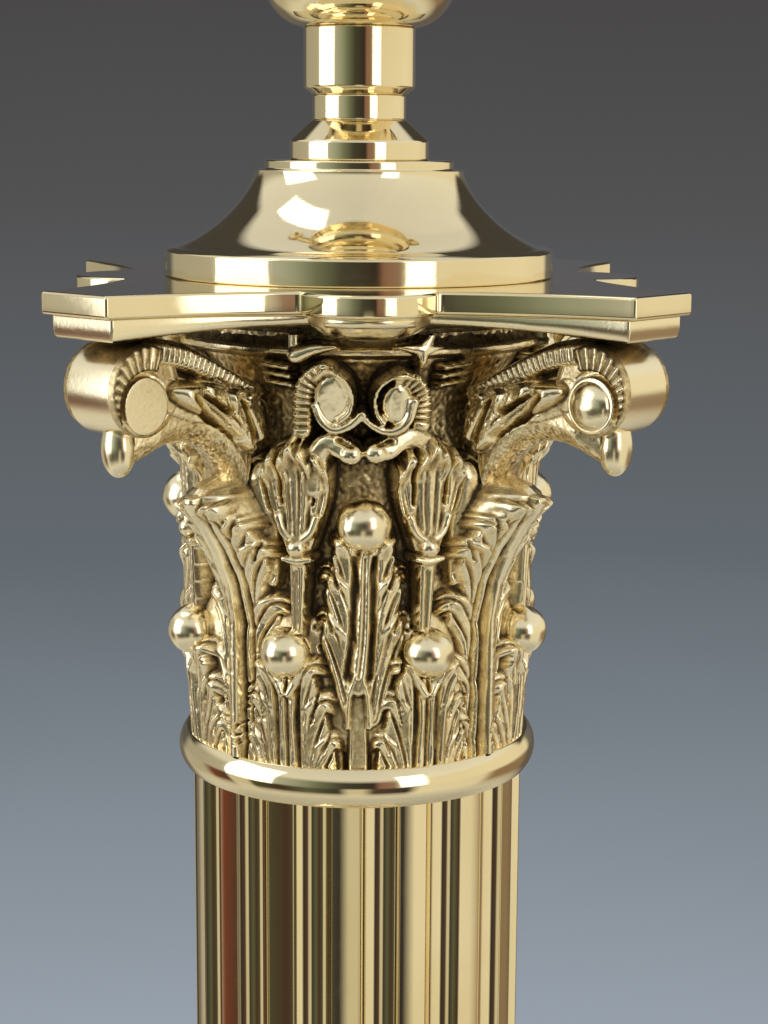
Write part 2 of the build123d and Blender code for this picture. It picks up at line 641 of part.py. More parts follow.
def corner_scroll():
    """Scroll drum on its arched bracket, with the tongue under it, made in front of the axis."""
    centre = DRUM_REACH - DRUM_RADIUS
    level = at_depth(DRUM_DEPTH)
    top = Z_PLATE - LAYER_THICKNESS / 2
    root = BELL_RADIUS - 2
    tongue_axis = centre + TONGUE_OUT
    neck = centre - BRACKET_NECK_IN
    arch = outline(
        (root, top), (centre, top), (centre, at_depth(TONGUE_DEPTH) + 2 * TONGUE_RADIUS),
        (tongue_axis - TONGUE_RADIUS, at_depth(TONGUE_DEPTH) + TONGUE_RADIUS),
        ((centre - ARCH_APEX_IN, at_depth(ARCH_APEX_DEPTH)),
         (BELL_RADIUS + ARCH_FOOT_OUT, at_depth(ARCH_FOOT_DEPTH))),
        (BELL_RADIUS, at_depth(ARCH_FOOT_DEPTH) - 2 * CAST_WALL), (root, at_depth(ARCH_FOOT_DEPTH)))
    plan = make_face(Polyline(
        (BRACKET_ROOT_HALF_WIDTH, -root + 4), (BRACKET_ROOT_HALF_WIDTH, -root - 3),
        (BRACKET_NECK_HALF_WIDTH, -neck), (BRACKET_NECK_HALF_WIDTH, -DRUM_REACH),
        (-BRACKET_NECK_HALF_WIDTH, -DRUM_REACH), (-BRACKET_NECK_HALF_WIDTH, -neck),
        (-BRACKET_ROOT_HALF_WIDTH, -root - 3), (-BRACKET_ROOT_HALF_WIDTH, -root + 4), close=True))
    wedge = extrude(Pos(0, 0, at_depth(2 * ARCH_FOOT_DEPTH)) * plan, amount=2 * ARCH_FOOT_DEPTH)
    bracket = across_front(BRACKET_ROOT_HALF_WIDTH, arch) & wedge
    drum = across_front(DRUM_HALF_WIDTH, Pos(centre, level) * Circle(DRUM_RADIUS))
    eye = across_front(DRUM_HALF_WIDTH + DRUM_RELIEF, Pos(centre, level) * Circle(DRUM_EYE_RADIUS))
    tip = at_depth(TONGUE_DEPTH) + TONGUE_RADIUS
    tongue = Pos(*out_of_axis(tongue_axis, tip)) * Sphere(TONGUE_RADIUS)
    stem = extrude(Pos(*out_of_axis(tongue_axis, tip)) * Circle(TONGUE_RADIUS), amount=DRUM_RADIUS)
    return [bracket, drum, eye, scroll_spiral(centre), tongue + stem]


def helix_pair():
    """The two small scrolls and their curled tails in the middle of a face."""
    front = Plane(out_of_axis(BELL_RADIUS - 1, at_depth(HELIX_DEPTH)), x_dir=(1, 0, 0), z_dir=(0, -1, 0))
    reach = HELIX_OUT + 1
    drop = HELIX_DEPTH - HELIX_TAIL_DEPTH
    discs = []
    for side in (-1, 1):
        scroll = front * Pos(side * HELIX_SPACING / 2, 0) * Circle(HELIX_RADIUS)
        tail = front * Pos(side * HELIX_TAIL_SPACING / 2, drop) * Circle(HELIX_TAIL_RADIUS)
        discs += [extrude(scroll, amount=reach), extrude(tail, amount=reach - HELIX_TAIL_RADIUS)]
    return discs


def tab_boss():
    """Rounded boss under a tab of the plate."""
    centre = TAB_REACH - TAB_RADIUS
    bowl = Pos(*out_of_axis(centre, Z_PLATE)) * Sphere(BOSS_RADIUS)
    band = Pos(*out_of_axis(centre, Z_PLATE - BOSS_HEIGHT / 2)) * Box(
        2 * BOSS_RADIUS, 2 * BOSS_RADIUS, BOSS_HEIGHT)
    return bowl & band


def capital():
    """Corinthian capital, one hollow casting."""
    face_pieces = [tab_boss(), leaf(TALL_LEAF_HALF_WIDTH, TALL_LEAF_TIP, TALL_LEAF_OUT,
                                    TALL_LEAF_BEND, TALL_LEAF_OUT)]
    face_pieces += helix_pair()
    face_pieces.append(ball(TALL_BALL_RADIUS, BELL_RADIUS + TALL_BALL_OUT, TALL_BALL_DEPTH))
    face_pieces += [facing(side * STALK_ANGLE, stalk()) for side in (-1, 1)]
    corner_pieces = corner_scroll()
    corner_pieces.append(leaf(CORNER_LEAF_HALF_WIDTH, CORNER_LEAF_TIP, CORNER_LEAF_OUT,
                              CORNER_LEAF_BEND, CORNER_LEAF_THICKNESS))
    lower_leaf = leaf(LOWER_LEAF_HALF_WIDTH, LOWER_LEAF_TIP, LOWER_LEAF_OUT,
                      LOWER_LEAF_BEND, LOWER_LEAF_OUT)
    lower_ball = ball(LOWER_BALL_RADIUS, BELL_RADIUS + LOWER_BALL_OUT, LOWER_BALL_DEPTH)
    pieces = []
    for piece in face_pieces:
        pieces += around(4, piece)
    for piece in corner_pieces:
        pieces += around(4, piece, first=45)
    for piece in (lower_leaf, lower_ball):
        pieces += around(LOWER_LEAF_COUNT, piece, first=180 / LOWER_LEAF_COUNT + LOWER_TIER_TWIST)
    body = bell() + casting_plate()
    body = body.fuse(*pieces)
    body -= rod(BELL_BORE_RADIUS, Z_CAPITAL, at_depth(BELL_CROWN))
    return body - rod(TUBE_HOLE_RADIUS, at_depth(BELL_CROWN), Z_PLATE)


# ---- Dome and neck ----------------------------------------------------------------------------
def dome_cap():
    """Flared dome on the plate, hollow underneath, with a low disc on its top."""
    z0 = Z_PLATE_TOP
    rim = z0 + DOME_RIM_HEIGHT
    shoulder = z0 + DOME_SHOULDER_HEIGHT
    body = turned(
        (TUBE_HOLE_RADIUS, z0), (DOME_RIM_RADIUS, z0), (DOME_RIM_RADIUS, rim),
        ((DOME_FLARE_RADIUS, z0 + DOME_FLARE_HEIGHT), (DOME_SHOULDER_RADIUS, shoulder)),
        (DOME_DISC_RADIUS, shoulder), (DOME_DISC_RADIUS, Z_DOME_TOP), (TUBE_HOLE_RADIUS, Z_DOME_TOP))
    inside = turned(
        (0, z0), (DOME_RIM_RADIUS - DOME_WALL, z0), (DOME_RIM_RADIUS - DOME_WALL, rim - DOME_WALL),
        ((DOME_FLARE_RADIUS - DOME_WALL, z0 + DOME_FLARE_HEIGHT - DOME_WALL),
         (DOME_SHOULDER_RADIUS - DOME_WALL, shoulder - DOME_WALL)), (0, shoulder - DOME_WALL))
    return body - inside


def neck_flange():
    edge = Z_DOME_TOP + FLANGE_HEIGHT
    return turned(
        (TUBE_HOLE_RADIUS, Z_DOME_TOP), (FLANGE_RADIUS, Z_DOME_TOP), (FLANGE_RADIUS, edge),
        (NECK_RING_RADIUS, Z_NECK_RING), (TUBE_HOLE_RADIUS, Z_NECK_RING))


def neck_ring():
    return tube(NECK_RING_RADIUS, TUBE_HOLE_RADIUS, Z_NECK_RING, Z_COLLAR)


def collar():
    return turned(
        (SCREWED_HOLE_RADIUS, Z_COLLAR), (NECK_RING_RADIUS, Z_COLLAR),
        (COLLAR_RADIUS, Z_COLLAR + COLLAR_CHAMFER), (COLLAR_RADIUS, Z_CAP), (SCREWED_HOLE_RADIUS, Z_CAP))


# ---- Lampholder -------------------------------------------------------------------------------
def domed(flat, radius, rise, bottom, top):
    """Round body whose bottom edge is a quarter ellipse."""
    corner = EllipticalCenterArc((flat, bottom + rise), radius - flat, rise, start_angle=270, arc_size=90)
    edges = [Line((0, bottom), (flat, bottom)), corner, Line((radius, bottom + rise), (radius, top)),
             Line((radius, top), (0, top)), Line((0, top), (0, bottom))]
    return revolve(Plane.XZ * make_face(edges), Axis.Z)


def switch_bar_bore(radius):
    """Cylinder along the switch bar's axis, through the whole lampholder."""
    plane = Plane((0, 0, Z_CAP + BAR_HEIGHT), z_dir=(1, 0, 0))
    return extrude(plane * Circle(radius), amount=2 * CAP_RADIUS, both=True)


def holder_cap():
    top = Z_CAP + CAP_HEIGHT
    body = domed(CAP_FLAT_RADIUS, CAP_RADIUS, CAP_DOME_HEIGHT, Z_CAP, top)
    body -= domed(CAP_FLAT_RADIUS, CAP_RADIUS - SHELL_WALL, CAP_DOME_HEIGHT - SHELL_WALL,
                  Z_CAP + SHELL_WALL, top)
    body += rod(ENTRY_BOSS_RADIUS, Z_CAP, Z_CAP + ENTRY_BOSS_HEIGHT)
    body -= rod(SCREWED_HOLE_RADIUS, Z_CAP, Z_CAP + ENTRY_BOSS_HEIGHT)
    return body - switch_bar_bore(BAR_RADIUS + RUNNING_GAP)


def holder_core():
    """Insulating block that carries the plungers, the terminals and the switch bar."""
    foot = Z_CAP + CORE_FOOT
    skirt_bore = CAP_RADIUS - SHELL_WALL - 2 * THREAD_GAP - SHELL_WALL
    body = turned(
        (0, foot), (skirt_bore - FIT_GAP, foot), (skirt_bore - FIT_GAP, Z_CAP + CORE_SHOULDER),
        (BARREL_FOOT_RADIUS - THREAD_GAP, Z_CAP + CORE_SHOULDER),
        (BARREL_FOOT_RADIUS - THREAD_GAP, Z_CAP + CORE_TOP), (0, Z_CAP + CORE_TOP))
    for side in (-1, 1):
        x = side * PLUNGER_SPACING / 2
        body -= rod(PLUNGER_RADIUS + RUNNING_GAP, Z_CAP + PLUNGER_BORE_FOOT, Z_CAP + CORE_TOP, x)
        pocket = Box(TERMINAL_SIDE, TERMINAL_SIDE, TERMINAL_HEIGHT)
        body -= Pos(0, side * TERMINAL_OFFSET, foot + TERMINAL_HEIGHT / 2) * pocket
    return body - switch_bar_bore(BAR_RADIUS + RUNNING_GAP)


def holder_skirt():
    """Screwed sleeve round the lamp's seat, with a bead and the shoulder that carries a shade."""
    foot = Z_CAP + CAP_HEIGHT - SKIRT_THREAD_LENGTH
    seam = Z_CAP + CAP_HEIGHT
    bead = seam + SKIRT_BEAD_HEIGHT
    shoulder = bead + SHOULDER_THICKNESS
    thread = CAP_RADIUS - SHELL_WALL - THREAD_GAP
    bore = thread - SHELL_WALL
    return turned(
        (bore, foot), (thread, foot), (thread, seam), (CAP_RADIUS, seam),
        ((SKIRT_BEAD_RADIUS, (seam + bead) / 2), (CAP_RADIUS, bead)), (SHOULDER_RADIUS, bead),
        (SHOULDER_RADIUS, shoulder), (SKIRT_RADIUS, shoulder), (SKIRT_RADIUS, Z_CAP + SKIRT_TOP),
        (SKIRT_BORE_RADIUS, Z_CAP + SKIRT_TOP), (SKIRT_BORE_RADIUS, shoulder), (bore, shoulder))


def barrel_slot():
    """Cutter for one bayonet slot: down from the rim, round, and a little up again."""
    reach = BARREL_BORE_RADIUS + 2 * BARREL_WALL
    top = Z_CAP + SKIRT_TOP
    low = top - BARREL_SLOT_DEPTH
    down = Pos(0, -reach / 2, (top + low) / 2) * Box(BARREL_SLOT_WIDTH, reach, top - low)
    ring = tube(reach, BARREL_BORE_RADIUS - BARREL_WALL, low, low + BARREL_SLOT_WIDTH)
    sector = make_face(Polyline(
        (0, 0), (0, -2 * reach),
        (2 * reach * sin(radians(BARREL_SLOT_TURN)), -2 * reach * cos(radians(BARREL_SLOT_TURN))),
        close=True))
    run = ring & extrude(Pos(0, 0, low) * sector, amount=BARREL_SLOT_WIDTH)
    rise = BARREL_SLOT_WIDTH + BARREL_SLOT_RETURN
    up = Pos(0, -reach / 2, low + rise / 2) * Box(BARREL_SLOT_WIDTH, reach, rise)
    return down + run + facing(BARREL_SLOT_TURN, up)


def lamp_barrel():
    """Bayonet sleeve. Below the lamp's seat its bore is narrower and grips the core."""
    outer = BARREL_BORE_RADIUS + BARREL_WALL
    body = tube(outer, BARREL_BORE_RADIUS, Z_SEAT, Z_CAP + SKIRT_TOP)
    body += tube(outer, BARREL_FOOT_RADIUS, Z_CAP + CORE_SHOULDER, Z_SEAT)
    for cutter in around(2, barrel_slot()):
        body -= cutter
    return body


def shade_ring():
    """Screwed ring that holds a shade down on the skirt's shoulder."""
    bottom = Z_CAP + CAP_HEIGHT + SKIRT_BEAD_HEIGHT + SHOULDER_THICKNESS
    bore = SKIRT_RADIUS + RUNNING_GAP
    return turned(
        (bore, bottom), (SHADE_RING_REACH - EDGE_BEVEL, bottom),
        (SHADE_RING_REACH, bottom + EDGE_BEVEL), (SHADE_RING_REACH, bottom + SHADE_RING_THICKNESS),
        (SHADE_RING_HUB_RADIUS, bottom + SHADE_RING_THICKNESS),
        (SHADE_RING_HUB_RADIUS, bottom + SHADE_RING_HEIGHT), (bore, bottom + SHADE_RING_HEIGHT))


def contact_plunger(side):
    x = side * PLUNGER_SPACING / 2
    pin = rod(PLUNGER_RADIUS, Z_CAP + PLUNGER_FOOT, Z_CAP + PLUNGER_TIP, x)
    return fillet(pin.edges().sort_by(Axis.Z)[-1], PLUNGER_RADIUS * 0.6)


def plunger_spring(side):
    bottom = Z_CAP + PLUNGER_BORE_FOOT
    outer = PLUNGER_RADIUS
    return Pos(side * PLUNGER_SPACING / 2, 0) * tube(outer, outer - SPRING_WALL, bottom, Z_CAP + PLUNGER_FOOT)


def switch_bar():
    """Push-through bar with a round knob at each end, at rest pushed over to -X."""
    plane = Plane((0, 0, Z_CAP + BAR_HEIGHT), z_dir=(1, 0, 0))
    reach = CAP_RADIUS + BAR_KNOB_GAP + BAR_TRAVEL / 2
    bar = extrude(plane * Circle(BAR_RADIUS), amount=reach, both=True)
    for side in (-1, 1):
        knob = extrude(plane.offset(side * reach) * Circle(BAR_KNOB_RADIUS), amount=side * BAR_KNOB_LENGTH)
        rim = knob.edges().filter_by(GeomType.CIRCLE)
        bar += fillet(rim, BAR_KNOB_LENGTH / 4)
    return Pos(-BAR_TRAVEL / 2, 0, 0) * bar


def terminal_posts():
    """Brass wire clamps in the core's pockets."""
    posts = []
    foot = Z_CAP + CORE_FOOT
    side_length = TERMINAL_SIDE - 2 * FIT_GAP
    for side in (-1, 1):
        y = side * TERMINAL_OFFSET
        height = TERMINAL_HEIGHT - FIT_GAP
        post = Pos(0, y, foot + height / 2) * Box(side_length, side_length, height)
        post -= rod(TERMINAL_WIRE_RADIUS, foot, foot + height / 2, 0, y)
        posts.append(post - terminal_screw(side))
    return Compound(children=posts)


def terminal_screw(side):
    """Clamp screw, level, from the outside of its post inwards."""
    start = side * (TERMINAL_OFFSET + TERMINAL_SIDE / 2 - FIT_GAP)
    level = Z_CAP + CORE_FOOT + TERMINAL_HEIGHT / 3
    plane = Plane((0, start, level), z_dir=(0, side, 0))
    return extrude(plane * Circle(TERMINAL_SCREW_RADIUS), amount=-TERMINAL_SCREW_LENGTH)


def terminal_screws():
    return Compound(children=[terminal_screw(side) for side in (-1, 1)])


PIECES = {
    "felt_pad": felt_pad,
    "cover_plate": cover_plate,
    "cover_screws": cover_screws,
    "plinth_lower_tier": plinth_lower_tier,
    "plinth_upper_tier": plinth_upper_tier,
    "base_block": base_block,
    "ballast_weight": ballast_weight,
    "earth_tag": earth_tag,
    "earth_screw": earth_screw,
    "inlet_bush": inlet_bush,
    "inlet_nut": inlet_nut,
    "tie_tube": tie_tube,
    "tie_washer": tie_washer,
    "tie_nut": tie_nut,
    "column_base": column_base,
    "column_shaft": column_shaft,
    "astragal_ring": astragal_ring,
    "capital": capital,
    "abacus_plate": abacus_plate,
    "dome_cap": dome_cap,
    "neck_flange": neck_flange,
    "neck_ring": neck_ring,
    "collar": collar,
    "holder_cap": holder_cap,
    "holder_core": holder_core,
    "holder_skirt": holder_skirt,
    "lamp_barrel": lamp_barrel,
    "shade_ring": shade_ring,
    "contact_plunger_left": lambda: contact_plunger(-1),
    "contact_plunger_right": lambda: contact_plunger(1),
    "plunger_spring_left": lambda: plunger_spring(-1),
    "plunger_spring_right": lambda: plunger_spring(1),
    "switch_bar": switch_bar,
    "terminal_posts": terminal_posts,
    "terminal_screws": terminal_screws,
}

os.makedirs("parts", exist_ok=True)
for name, make in PIECES.items():
    export_step(make(), f"parts/{name}.step")
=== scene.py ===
import bpy
import numpy as np
from math import cos, pi, radians, sin, sqrt
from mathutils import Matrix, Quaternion, Vector


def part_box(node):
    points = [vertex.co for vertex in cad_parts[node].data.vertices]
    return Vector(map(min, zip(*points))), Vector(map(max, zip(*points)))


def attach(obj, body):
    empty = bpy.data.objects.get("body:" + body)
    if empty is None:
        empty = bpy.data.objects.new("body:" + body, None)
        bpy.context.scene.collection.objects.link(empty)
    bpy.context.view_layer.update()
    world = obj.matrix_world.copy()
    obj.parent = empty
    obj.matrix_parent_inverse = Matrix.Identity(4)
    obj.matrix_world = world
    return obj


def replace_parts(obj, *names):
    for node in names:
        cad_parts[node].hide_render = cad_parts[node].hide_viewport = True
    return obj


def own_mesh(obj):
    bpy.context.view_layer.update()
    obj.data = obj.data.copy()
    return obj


# Column table lamp. Lengths are in millimetres here and become metres in add_mesh. Outlines have their
# heights above their piece's foot, and the capital has its own below the top of its plate.

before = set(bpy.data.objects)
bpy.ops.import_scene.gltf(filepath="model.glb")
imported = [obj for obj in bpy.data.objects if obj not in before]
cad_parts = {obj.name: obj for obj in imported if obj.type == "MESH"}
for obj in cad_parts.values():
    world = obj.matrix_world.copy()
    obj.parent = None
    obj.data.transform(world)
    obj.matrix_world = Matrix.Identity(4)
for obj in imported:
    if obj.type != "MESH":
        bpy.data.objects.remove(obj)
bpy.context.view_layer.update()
MM = 0.001
PLATE_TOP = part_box("abacus_plate")[1].z / MM
LAMP = "lamp"
rng = np.random.default_rng(7)


def low(node):
    """Height of a node's lowest point above the table."""
    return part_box(node)[0].z / MM


def high(node):
    """Height of a node's highest point above the table."""
    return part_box(node)[1].z / MM


# ---- Sizes
AROUND = (False, True)            # which ways a grid wraps: only round its columns, or not at all
OPEN = (False, False)
TURNS = 192                       # steps round a turned piece
EDGE = 0.3                        # rounding of a machined edge
FRONT = -pi / 2                   # polar angle of the front

COLUMN_RADIUS = 26.0
FLUTES = 16
FLUTE_ANGLE = 13.2                # degrees that a flute takes up, and how far the flats are turned
FILLET_PHASE = -6.0
FLUTE_DEPTH = 1.8
SHAFT_BORE = 21.0
RING_REACH = 28.2
RING_EDGE = 27.0
TUBE_HOLE = 5.2
TIER_BEVEL = 0.8                  # over the upright faces of the base
TIER_CORNER = 0.9                 # rounding of its upright edges

PLATE_OUT = 44.7                  # plate's cut corners run from (OUT, IN) to (IN, OUT)
PLATE_IN = 35.2
PLATE_WAIST = 34.4
TAB_RADIUS = 9.7
TAB_REACH = 43.2
PLATE_THICKNESS = 3.16
LAYER_INSET = 1.4                 # the casting's own plate under it, and how deep that reaches
LAYER_CORNER = 6.4
LAYER_MIDDLE = 4.6

SKIRT_RADIUS = 14.0
THREAD_PITCH = 1.6
THREAD_DEPTH = 0.32
KNURLS = 72
KNURL_DEPTH = 0.32
SPRING_WIRE = 0.225               # radius of the wire
SPRING_TURNS = 6

RELIEF_RADIUS = 27.0              # arc lengths on the bell are measured at this radius
QUARTER = RELIEF_RADIUS * pi / 2  # arc length of one face of the capital
BELL = 23.6                       # radius of the bell under its leaves
BELL_FOOT = -70.6
BELL_HEAD = -6.6
CORNER = QUARTER / 2
LOWER_LEAVES = (-11.8, 9.4)       # places along a face
CUPS = (-9.9, 9.2)
RELIEF_COLUMNS = 248              # per quarter
RELIEF_ROWS = 384

DRUM_OUT = 47.85                  # corner scroll: its axis, radius and half width
DRUM_DEPTH = -13.5
DRUM_RADIUS = 6.45
DRUM_HALF = 4.7
DRUM_SPOKES = 168
EYE = (48.1, -15.5)               # middle of the spiral on the scroll's ends
EYE_RADIUS = 4.1

NEAR_PASSES, NEAR_FULL = 4, 0.10  # blur that a hollow is measured against, depth that counts as full
FAR_PASSES, FAR_FULL = 60, 0.9
NEAR_SHARE = 0.6
POLISHED = -0.8                   # patina of what is rubbed bright: small scrolls, tips, corner scrolls, balls
DRUM_POLISH = -0.9
BALL_POLISH = -0.75


# ---- Mesh making
def grid_faces(rows, columns, wrap_rows=False, wrap_columns=False):
    """Quads of a grid of points whose rows follow each other in the point list."""
    r = np.arange(rows if wrap_rows else rows - 1)[:, None]
    c = np.arange(columns if wrap_columns else columns - 1)[None, :]
    below = (r + 1) % rows
    right = (c + 1) % columns
    quads = np.stack([r * columns + c, r * columns + right, below * columns + right, below * columns + c], -1)
    return quads.reshape(-1, 4).tolist()


def capped_faces(rows, columns, far_end=True):
    """Quads of a grid that wraps round its columns, with a cap over its first row and its last."""
    faces = grid_faces(rows, columns, wrap_columns=True)
    faces.append(list(range(columns))[::-1])
    if far_end:
        faces.append(list(range((rows - 1) * columns, rows * columns)))
    return faces


def full_turn(steps):
    """Angles of a full turn, as one row."""
    return np.linspace(0, 2 * pi, steps, endpoint=False)[None, :]


def quarter_turned(points, turns):
    """Points (x, y, ...) after so many quarter turns round the vertical axis."""
    c, s = cos(turns * pi / 2), sin(turns * pi / 2)
    points = np.array(points, float)
    x, y = points[..., 0].copy(), points[..., 1].copy()
    points[..., 0], points[..., 1] = x * c - y * s, x * s + y * c
    return points


def area_normals(mesh):
    """Vertex normals weighted by face area, so that flats stay flat beside their rounded edges."""
    count = len(mesh.polygons)
    normal = np.zeros(count * 3, np.float32)
    area = np.zeros(count, np.float32)
    total = np.zeros(count, np.int32)
    mesh.polygons.foreach_get("normal", normal)
    mesh.polygons.foreach_get("area", area)
    mesh.polygons.foreach_get("loop_total", total)
    corner = np.zeros(len(mesh.loops), np.int32)
    mesh.loops.foreach_get("vertex_index", corner)
    weighted = np.repeat(normal.reshape(-1, 3) * area[:, None], total, axis=0)
    sums = np.zeros((len(mesh.vertices), 3))
    np.add.at(sums, corner, weighted)
    return sums / np.maximum(np.linalg.norm(sums, axis=1), 1e-12)[:, None]


def add_object(name, data):
    """New object in the scene."""
    thing = bpy.data.objects.new(name, data)
    bpy.context.scene.collection.objects.link(thing)
    return thing


def add_smooth(name, points, faces, layers):
    """Smooth mesh object from points in metres. Each layer gives every point a number."""
    mesh = bpy.data.meshes.new(name)
    mesh.from_pydata(points.reshape(-1, 3).tolist(), [], faces)
    mesh.update()
    mesh.polygons.foreach_set("use_smooth", np.ones(len(mesh.polygons), bool))
    for layer, values in layers.items():
        data = mesh.attributes.new(layer, "FLOAT", "POINT").data
        data.foreach_set("value", np.asarray(values, np.float32).ravel())
    return add_object(name, mesh)


def add_mesh(name, points, faces, material, body=LAMP, normals=None, patina_and_shade=None):
    """Piece from points in millimetres above the table. It rides on a body and has a slot."""
    piece = add_smooth(name, np.asarray(points, float) * MM, faces, {} if patina_and_shade is None else {"patina_and_shade": patina_and_shade})
    if normals is None:
        normals = area_normals(piece.data)
    piece.data.normals_split_custom_set_from_vertices(normals.reshape(-1, 3).tolist())
    piece.data.materials.append(material)
    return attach(piece, body)


def swept(name, radius, height, material, body=LAMP, patina_and_shade=None):
    """Closed ring from a grid of radii: a row for each outline point, a column for each step round."""
    angle = full_turn(radius.shape[1])
    level = np.broadcast_to(height, radius.shape)
    points = np.stack([radius * np.cos(angle), radius * np.sin(angle), level], -1)
    return add_mesh(name, points, grid_faces(*radius.shape, True, True), material, body, patina_and_shade=patina_and_shade)


def flat_ring(ring, level):
    """Points (x, y) at one height, or at a height for each."""
    return np.column_stack([ring, np.broadcast_to(level, len(ring))])


def extruded(name, rings, material, node=None, patina_and_shade=None):
    """Closed ring of sections: each an array of points (x, y, z) with the same count."""
    faces = grid_faces(len(rings), len(rings[0]), True, True)
    piece = add_mesh(name, np.concatenate(rings), faces, material, patina_and_shade=patina_and_shade)
    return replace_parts(piece, node) if node else piece


def rounded_square(out, corner, per_side=6, per_corner=6):
    """Points round a square of half side out, with rounded corners."""
    centre = out - corner
    quarter = [(centre + corner * cos(a), centre + corner * sin(a)) for a in np.linspace(0, pi / 2, per_corner)]
    quarter += [(x, out) for x in np.linspace(centre, -centre, per_side + 1)[1:-1]]
    return np.concatenate([quarter_turned(quarter, turn) for turn in range(4)])


# ---- Relief: a height map painted with lobes, ridges and grooves
class Relief:
    """Heights over (across, up) in millimetres. A period repeats what is painted across the seam."""

    def __init__(self, across, up, ground, period=None):
        self.across = across
        self.up = up
        self.ground = ground
        self.height = ground.copy()
        self.shifts = (-period, 0.0, period) if period else (0.0,)

    def along(self, path, reach):
        """For the cells within reach of a path: the cells, the share of the way, the signed offset."""
        for shift in self.shifts:
            line = path + np.array((shift, 0.0))
            near = ((self.across > line[:, 0].min() - reach) & (self.across < line[:, 0].max() + reach)
                    & (self.up > line[:, 1].min() - reach) & (self.up < line[:, 1].max() + reach))
            if not near.any():
                continue
            cells = np.column_stack([self.across[near], self.up[near]])
            start = line[:-1]
            step = np.diff(line, axis=0)
            length = np.linalg.norm(step, axis=1)
            offset = cells[:, None, :] - start[None]
            share = np.clip((offset * step).sum(-1) / length ** 2, 0, 1)
            gap = offset - share[..., None] * step
            distance = np.linalg.norm(gap, axis=-1)
            best = distance.argmin(1)
            row = np.arange(len(cells))
            travelled = np.concatenate([[0], np.cumsum(length)])
            way = (travelled[best] + share[row, best] * length[best]) / travelled[-1]
            side = np.sign(step[best, 0] * offset[row, best, 1] - step[best, 1] * offset[row, best, 0])
            yield near, way, distance[row, best] * side

    def raise_to(self, cells, mask, raised):
        """Brings the masked ones of some cells up to a height, where they are lower."""
        here = self.height[cells]
        self.height[cells] = np.where(mask, np.maximum(here, raised), here)

    def ridge(self, points, width, rise, flat=1.0, ribs=0, rib_height=0.0):
        """Rounded ridge of a half width and a rise over the ground, each a pair (start, end)."""
        path = curve(points)
        for near, way, offset in self.along(path, max(width) * 1.2):
            half = width[0] + (width[1] - width[0]) * way
            top = rise[0] + (rise[1] - rise[0]) * way
            if ribs:
                top = top + rib_height * (np.abs(np.cos(pi * ribs * way)) - 0.5)
            shape = np.sqrt(np.clip(1 - (np.abs(offset) / half) ** (2 * flat), 0, 1))
            raised = self.ground[near] + top - np.minimum(top, half) * (1 - shape)
            self.raise_to(near, shape > 0, raised)

    def groove(self, points, width, depth):
        """Rounded groove cut into what is already there."""
        path = curve(points)
        for near, way, offset in self.along(path, max(width) * 2.5):
            half = width[0] + (width[1] - width[0]) * way
            self.height[near] -= depth * np.exp(-(offset / half) ** 2)

    def dome(self, place, radius, rise):
        """Round boss."""
        for shift in self.shifts:
            gap = np.hypot(self.across - place[0] - shift, self.up - place[1]) / radius
            raised = self.ground + rise - min(rise, radius) * (1 - np.clip(1 - gap ** 2, 0, 1) ** 0.5)
            self.raise_to(..., gap < 1, raised)

    def lobe(self, path, half, fingers, rise, vein=1.0, root_share=0.6, lift=0.3, scallop=0.1):
        """One lobe of a leaf along a path: it widens from its root, and its veins end in rounded teeth."""
        path = curve(path)
        length = np.linalg.norm(np.diff(path, axis=0), axis=1).sum()
        shake = rng.uniform(-0.15, 0.15)
        for near, way, offset in self.along(path, half * 1.4):
            half_here = half * (root_share + (1 - root_share) * np.sin(pi / 2 * np.clip(way / 0.7, 0, 1)))
            share = offset / half_here
            fan = np.abs(np.cos(pi * (share * fingers / 2 * (1.1 - 0.2 * way) + shake)))
            limit = 1 - 0.2 * share ** 2 - scallop * (1 - fan) ** 2
            toward = np.clip((limit - way) / 0.16, 0, 1)
            body = np.sqrt(np.clip(1 - (1 - toward) ** 2, 0, 1))
            body = body * np.sqrt(np.clip(1 - np.abs(share) ** 4, 0, 1))
            knob = 0.4 * np.exp(-((way - limit + 0.14) / 0.10) ** 2)
            slot = np.clip(1 - fan / 0.5, 0, 1) * np.clip(way * 4, 0.2, 1) * np.clip((limit - way) / 0.2, 0, 1)
            top = rise * (1 - lift + lift * way + knob * (1 - 0.4 * slot)) - vein * slot
            beyond = np.maximum(np.abs(share) - 1, (way - limit) * length / half)
            beyond = np.where(way > 0.999, np.abs(share), beyond)
            moat = (beyond > 0) & (body == 0) & (beyond * half < 0.35) & (way > 0.35)
            sunk = np.minimum(self.height[near], self.ground[near] + 0.5 * rise)
            self.height[near] = np.where(moat, sunk, self.height[near])
            raised = self.ground[near] + top - np.minimum(top, half) * (1 - body)
            self.raise_to(near, body > 0, raised)

    def swell(self, points, width, rise):
        """Low broad swelling that becomes the ground of what is painted after it."""
        raised = Relief(self.across, self.up, self.ground)
        raised.shifts = self.shifts
        raised.ridge(points, width, rise)
        self.ground = np.maximum(self.ground, raised.height)
        self.height = np.maximum(self.height, self.ground)


def curve(points, steps=10):
    """Smooth path through points."""
    points = np.array(points, float)
    if len(points) == 2:
        return points[0] + (points[1] - points[0]) * np.linspace(0, 1, steps)[:, None]
    padded = np.vstack([2 * points[0] - points[1], points, 2 * points[-1] - points[-2]])
    result = []
    for i in range(1, len(padded) - 2):
        a, b, c, d = padded[i - 1:i + 3]
        t = np.linspace(0, 1, steps, endpoint=False)[:, None]
        result.append(0.5 * (2 * b + (c - a) * t + (2 * a - 5 * b + 4 * c - d) * t ** 2
                             + (3 * b - a - 3 * c + d) * t ** 3))
    return np.vstack([*result, points[-1:]])


